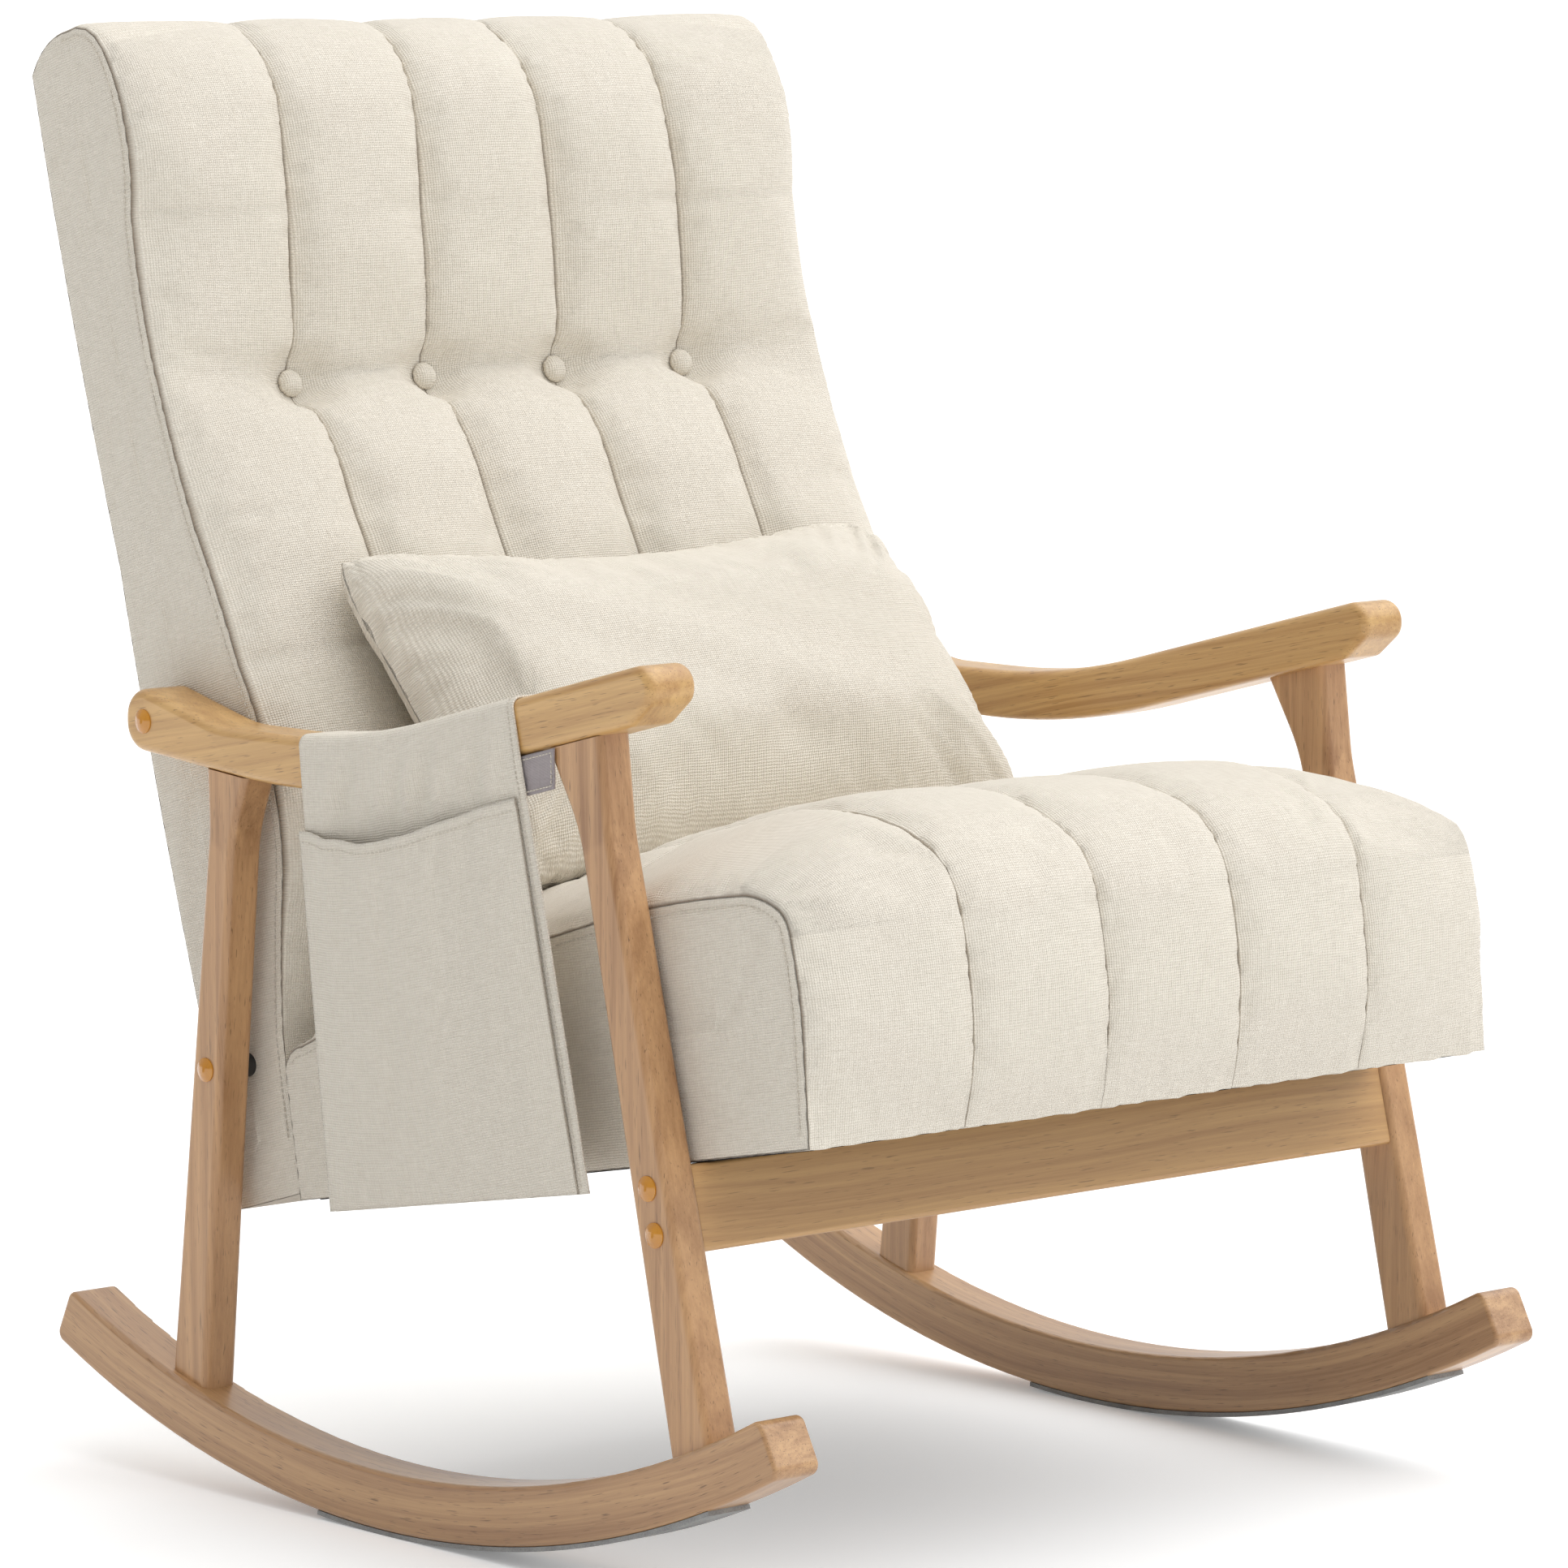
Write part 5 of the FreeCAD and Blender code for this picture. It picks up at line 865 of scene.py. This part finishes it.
def hanger():
    """The pocket's backing: an inner flap, over the arm and down outside it in soft folds."""
    shares = np.linspace(0, 1, 90)
    rows, cloth = [], []
    turn, near = 6, 1.1             # radius over the arm's edges, and height over the wood
    flap = 30                       # how far it hangs down inside the arm
    for share in shares:
        fold = pocket_shares(share)[0]
        line = pocket_line(share)
        drop = line[2]
        section = [(-ARM_WIDTH - near, d) for d in np.linspace(flap, turn + 1, 9)]
        for way in (-1, 1):
            centre = turn - ARM_WIDTH if way < 0 else -turn
            for k in range(7):
                a = math.pi / 2 * k / 6
                side, high = (math.cos(a), math.sin(a)) if way < 0 else (math.sin(a), math.cos(a))
                section.append((centre + way * side * (turn + near),
                                turn - high * (turn + near)))
            if way < 0:
                section += [(x, -near) for x in np.linspace(turn - ARM_WIDTH, -turn, 9)[1:-1]]
        start = turn + 1
        for down in np.linspace(start, drop, 70):
            t = (down - start) / (drop - start)
            bulge = 2.0 * fold * 4 * t * (1 - t)
            wave = ripples(np.array([share * 250 + down * 0.25]), (31, 47, 71), "hanger")[0]
            soft = (3.8 * math.exp(-(max(0, down - 28) / 25) ** 2)
                    * math.sin(math.pi * share) ** 0.5)
            section.append((near + bulge + (soft + 0.2) * (wave + 1) * min(1, t * 8), down))
        rows.append([pocket_place(line, out, down) for out, down in section])
        run = run_length(np.array(section))
        cloth.append([(share * 0.24, r * MM, min(share, 1 - share) * 0.24 + 0.0012) for r in run])
    sewn = stitches("pocket_edge_stitch", *edge_line(rows, shares, 0.972), 3.4 * MM)
    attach(sewn, "chair")
    made = thick_cloth("pocket_backing", rows, 1.5 * MM, LINEN, cloth)
    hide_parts("pocket_hanger")
    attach(made, "chair")


def pocket_front():
    """The pocket's outer panel, open and sagging along its mouth."""
    first, last = -0.016, 0.966
    shares = np.linspace(first, last, 90)
    runs = np.linspace(0, 1, 70)
    rows, cloth, hem, hem_normal = [], [], [], []
    for share in shares:
        fold, opened, sag, belly = pocket_shares(share)
        line = pocket_line(share)
        drop = line[2]
        near = 2 * 0.3 + 1.6 + 0.9      # two gaps, the backing and half the cloth
        mouth = 60 + 9 * sag
        behind = 2.0 * fold
        mouth_x = near + behind * (1 - (1 - 2 * mouth / drop) ** 2) + 12 * opened
        half = (drop + mouth) / 2
        half_x = near + behind * (1 - (1 - 2 * half / drop) ** 2) + 11 * belly
        row = []
        for t in runs:
            # one smooth curve through the mouth, the belly and the hem
            out = (mouth_x * 2 * (t - 0.5) * (t - 1) - half_x * 4 * t * (t - 1)
                   + near * 2 * t * (t - 0.5))
            wave = ripples(np.array([share * 250 + t * 34]), (29, 43, 67), "pocket front")[0]
            out += 0.7 * wave * math.sin(math.pi * min(1, share * 8, (1 - share) * 8) / 2) * (
                1 - t) ** 0.5
            hem_roll = 0.7 * math.exp(-((t - 0.012) / 0.014) ** 2)
            row.append(pocket_place(line, out + hem_roll, mouth + (drop - 0.3 - mouth) * t))
        rows.append(row)
        # the third number falls to 0.3 mm at the last share, which puts the painted seam shade
        # along that edge
        cloth.append([(share * 0.25, (mouth + (drop - mouth) * t) * MM + 1,
                       min(share + 0.02, last - share) * 0.25 + 0.0003) for t in runs])
        hem.append(row[2] + np.array([-0.9 * MM, 0, 0]))
        hem_normal.append((-1, 0, 0))
    made = thick_cloth("pocket_front_cloth", rows, 1.5 * MM, LINEN, cloth)
    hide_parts("pocket_front_panel")
    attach(made, "chair")
    sewn = stitches("pocket_hem_stitch", hem, hem_normal, 3.6 * MM)
    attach(sewn, "chair")


hanger()
pocket_front()


# Strap under the arm that holds the pocket, with a strip of hook tape on its tab

def strap_place(x, along, rise):
    """A place on the strap: along the arm's sloping lower face, and up from it."""
    lean = math.radians(14.2)
    under = 537.3 - math.tan(lean) * (-110 + 256 - 20)
    return np.array([x, -110 - along * math.cos(lean),
                     under + along * math.sin(lean) + rise]) * MM


STRAP_WIDTH, TAB_WIDTH, TAB_DROP = 41, 57, 25.4


def strap():
    runs = np.linspace(0, STRAP_WIDTH, 24)
    section = [(-290.2, rise) for rise in np.linspace(19, 1, 8)]
    section += [(-290.2 - 0.9 * math.sin(a), -0.85 + 1.7 * math.cos(a))
                for a in (0.6, 1.1)]
    section += [(x, -0.85) for x in np.linspace(-292, -330.4, 16)]
    rows = [[strap_place(x, run, rise) for x, rise in section] for run in runs]
    lengths = run_length(np.array(section))
    cloth = [[(run * MM, length * MM, 1) for length in lengths] for run in runs]
    made = thick_cloth("pocket_strap_cloth", rows, 1.0 * MM, LINING, cloth)
    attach(made, "chair")
    # the tab hangs outside the arm
    runs, drops = np.linspace(0, TAB_WIDTH, 30), np.linspace(0, TAB_DROP, 22)
    section = [(-330.9 - 0.25 * math.sin(d / 4), -0.6 - d) for d in drops]
    rows = [[strap_place(x, run, rise) for x, rise in section] for run in runs]
    cloth = [[(run * MM, d * MM, 1) for d in drops] for run in runs]
    tab = thick_cloth("pocket_strap_tab", rows, 1.0 * MM, LINING, cloth)
    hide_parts("pocket_strap")
    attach(tab, "chair")
    around = [(2.5, 2.5), (54.5, 2.5), (54.5, 23), (2.5, 23), (2.5, 2.5)]
    path = [strap_place(-331.6, run, -0.6 - deep) for run, deep in around]
    seam = stitches("pocket_strap_stitch", path, [(-1, 0, 0)] * 5, 3.2 * MM)
    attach(seam, "chair")
    points = []
    for run in np.linspace(-1, 6, 9):
        for deep in np.linspace(2.5, 23.5, 22):
            bristle = 0.25 * ((round(run) + round(deep)) % 2)
            points.append(strap_place(-331.7 - bristle, run, -0.6 - deep))
    tape = add_object("pocket_hook_tape", points, grid_faces(9, 22), WHITE)
    solid = tape.modifiers.new("thickness", "SOLIDIFY")
    solid.thickness = 0.5 * MM
    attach(tape, "chair")


strap()


# Stage, light and camera

FLOOR_REACH, FLOOR_GLOW = 400, 0.2


def stage():
    mesh = bpy.data.meshes.new("floor")
    far = FLOOR_REACH
    mesh.from_pydata([(-far, -far, 0), (far, -far, 0), (far, far, 0), (-far, far, 0)], [],
                     [(0, 1, 2, 3)])
    mesh.materials.append(speckled("floor_paint", (0.95, 0.95, 0.95), (0.93, 0.93, 0.93), 6,
                                   (0.7, 0.8), bump=0.0))
    tree = mesh.materials[0].node_tree
    # what the camera and reflections see is a little paler than what lights the chair
    path = node(tree, "LightPath").outputs
    seen = maths(tree, "MAXIMUM", path["Is Camera Ray"], path["Is Glossy Ray"])
    seen = maths(tree, "MAXIMUM", seen, path["Is Transmission Ray"])
    plug(tree, tree.nodes["Principled BSDF"], Emission_Color=(1, 1, 1, 1),
         Emission_Strength=maths(tree, "MULTIPLY", seen, FLOOR_GLOW))
    floor = bpy.data.objects.new("floor", mesh)
    bpy.context.scene.collection.objects.link(floor)


def studio():
    """Soft light from all round, stronger from above and from the chair's left."""
    world = bpy.data.worlds.new("studio")
    world.use_nodes = True
    tree = world.node_tree
    way = node(tree, "SeparateXYZ", {0: node(tree, "TexCoord").outputs["Generated"]})
    bright = maths(tree, "MULTIPLY_ADD", way.outputs[0], 0.3,
                   maths(tree, "MULTIPLY_ADD", way.outputs[2], 0.34, 0.58))
    tree.links.new(bright, tree.nodes["Background"].inputs[1])
    tree.nodes["Background"].inputs[0].default_value = (1, 1, 1, 1)
    bpy.context.scene.world = world
    light = bpy.data.lights.new("key", "SUN")
    light.energy = 1.7
    light.angle = math.radians(80)
    key = bpy.data.objects.new("key", light)
    key.rotation_euler = Vector((-1.2, 0.9, -3.0)).to_track_quat("-Z", "Y").to_euler()
    bpy.context.scene.collection.objects.link(key)


stage()
studio()
scene = bpy.context.scene
scene.view_settings.view_transform = "Standard"
lens = bpy.data.cameras.new("camera")
# the camera was fitted in the photograph's own pixels
FRAME_PIXELS, FOCAL_PIXELS, SENSOR = 1932, 9404, 36
lens.sensor_width = SENSOR
lens.lens = FOCAL_PIXELS / FRAME_PIXELS * SENSOR
lens.shift_x = 7.45 / FRAME_PIXELS
lens.shift_y = -25.28 / FRAME_PIXELS
lens.clip_end = 1500
camera = bpy.data.objects.new("camera", lens)
right = Vector((0.7429, -0.6694, 0)).normalized()
ahead = Vector((0.6651, 0.7381, -0.1132)).normalized()
up = right.cross(ahead)
turned = Matrix((right, up, -ahead)).transposed().to_4x4()
camera.matrix_world = Matrix.Translation((-3.3484, -3.7191, 1.0402)) @ turned
scene.collection.objects.link(camera)
scene.camera = camera
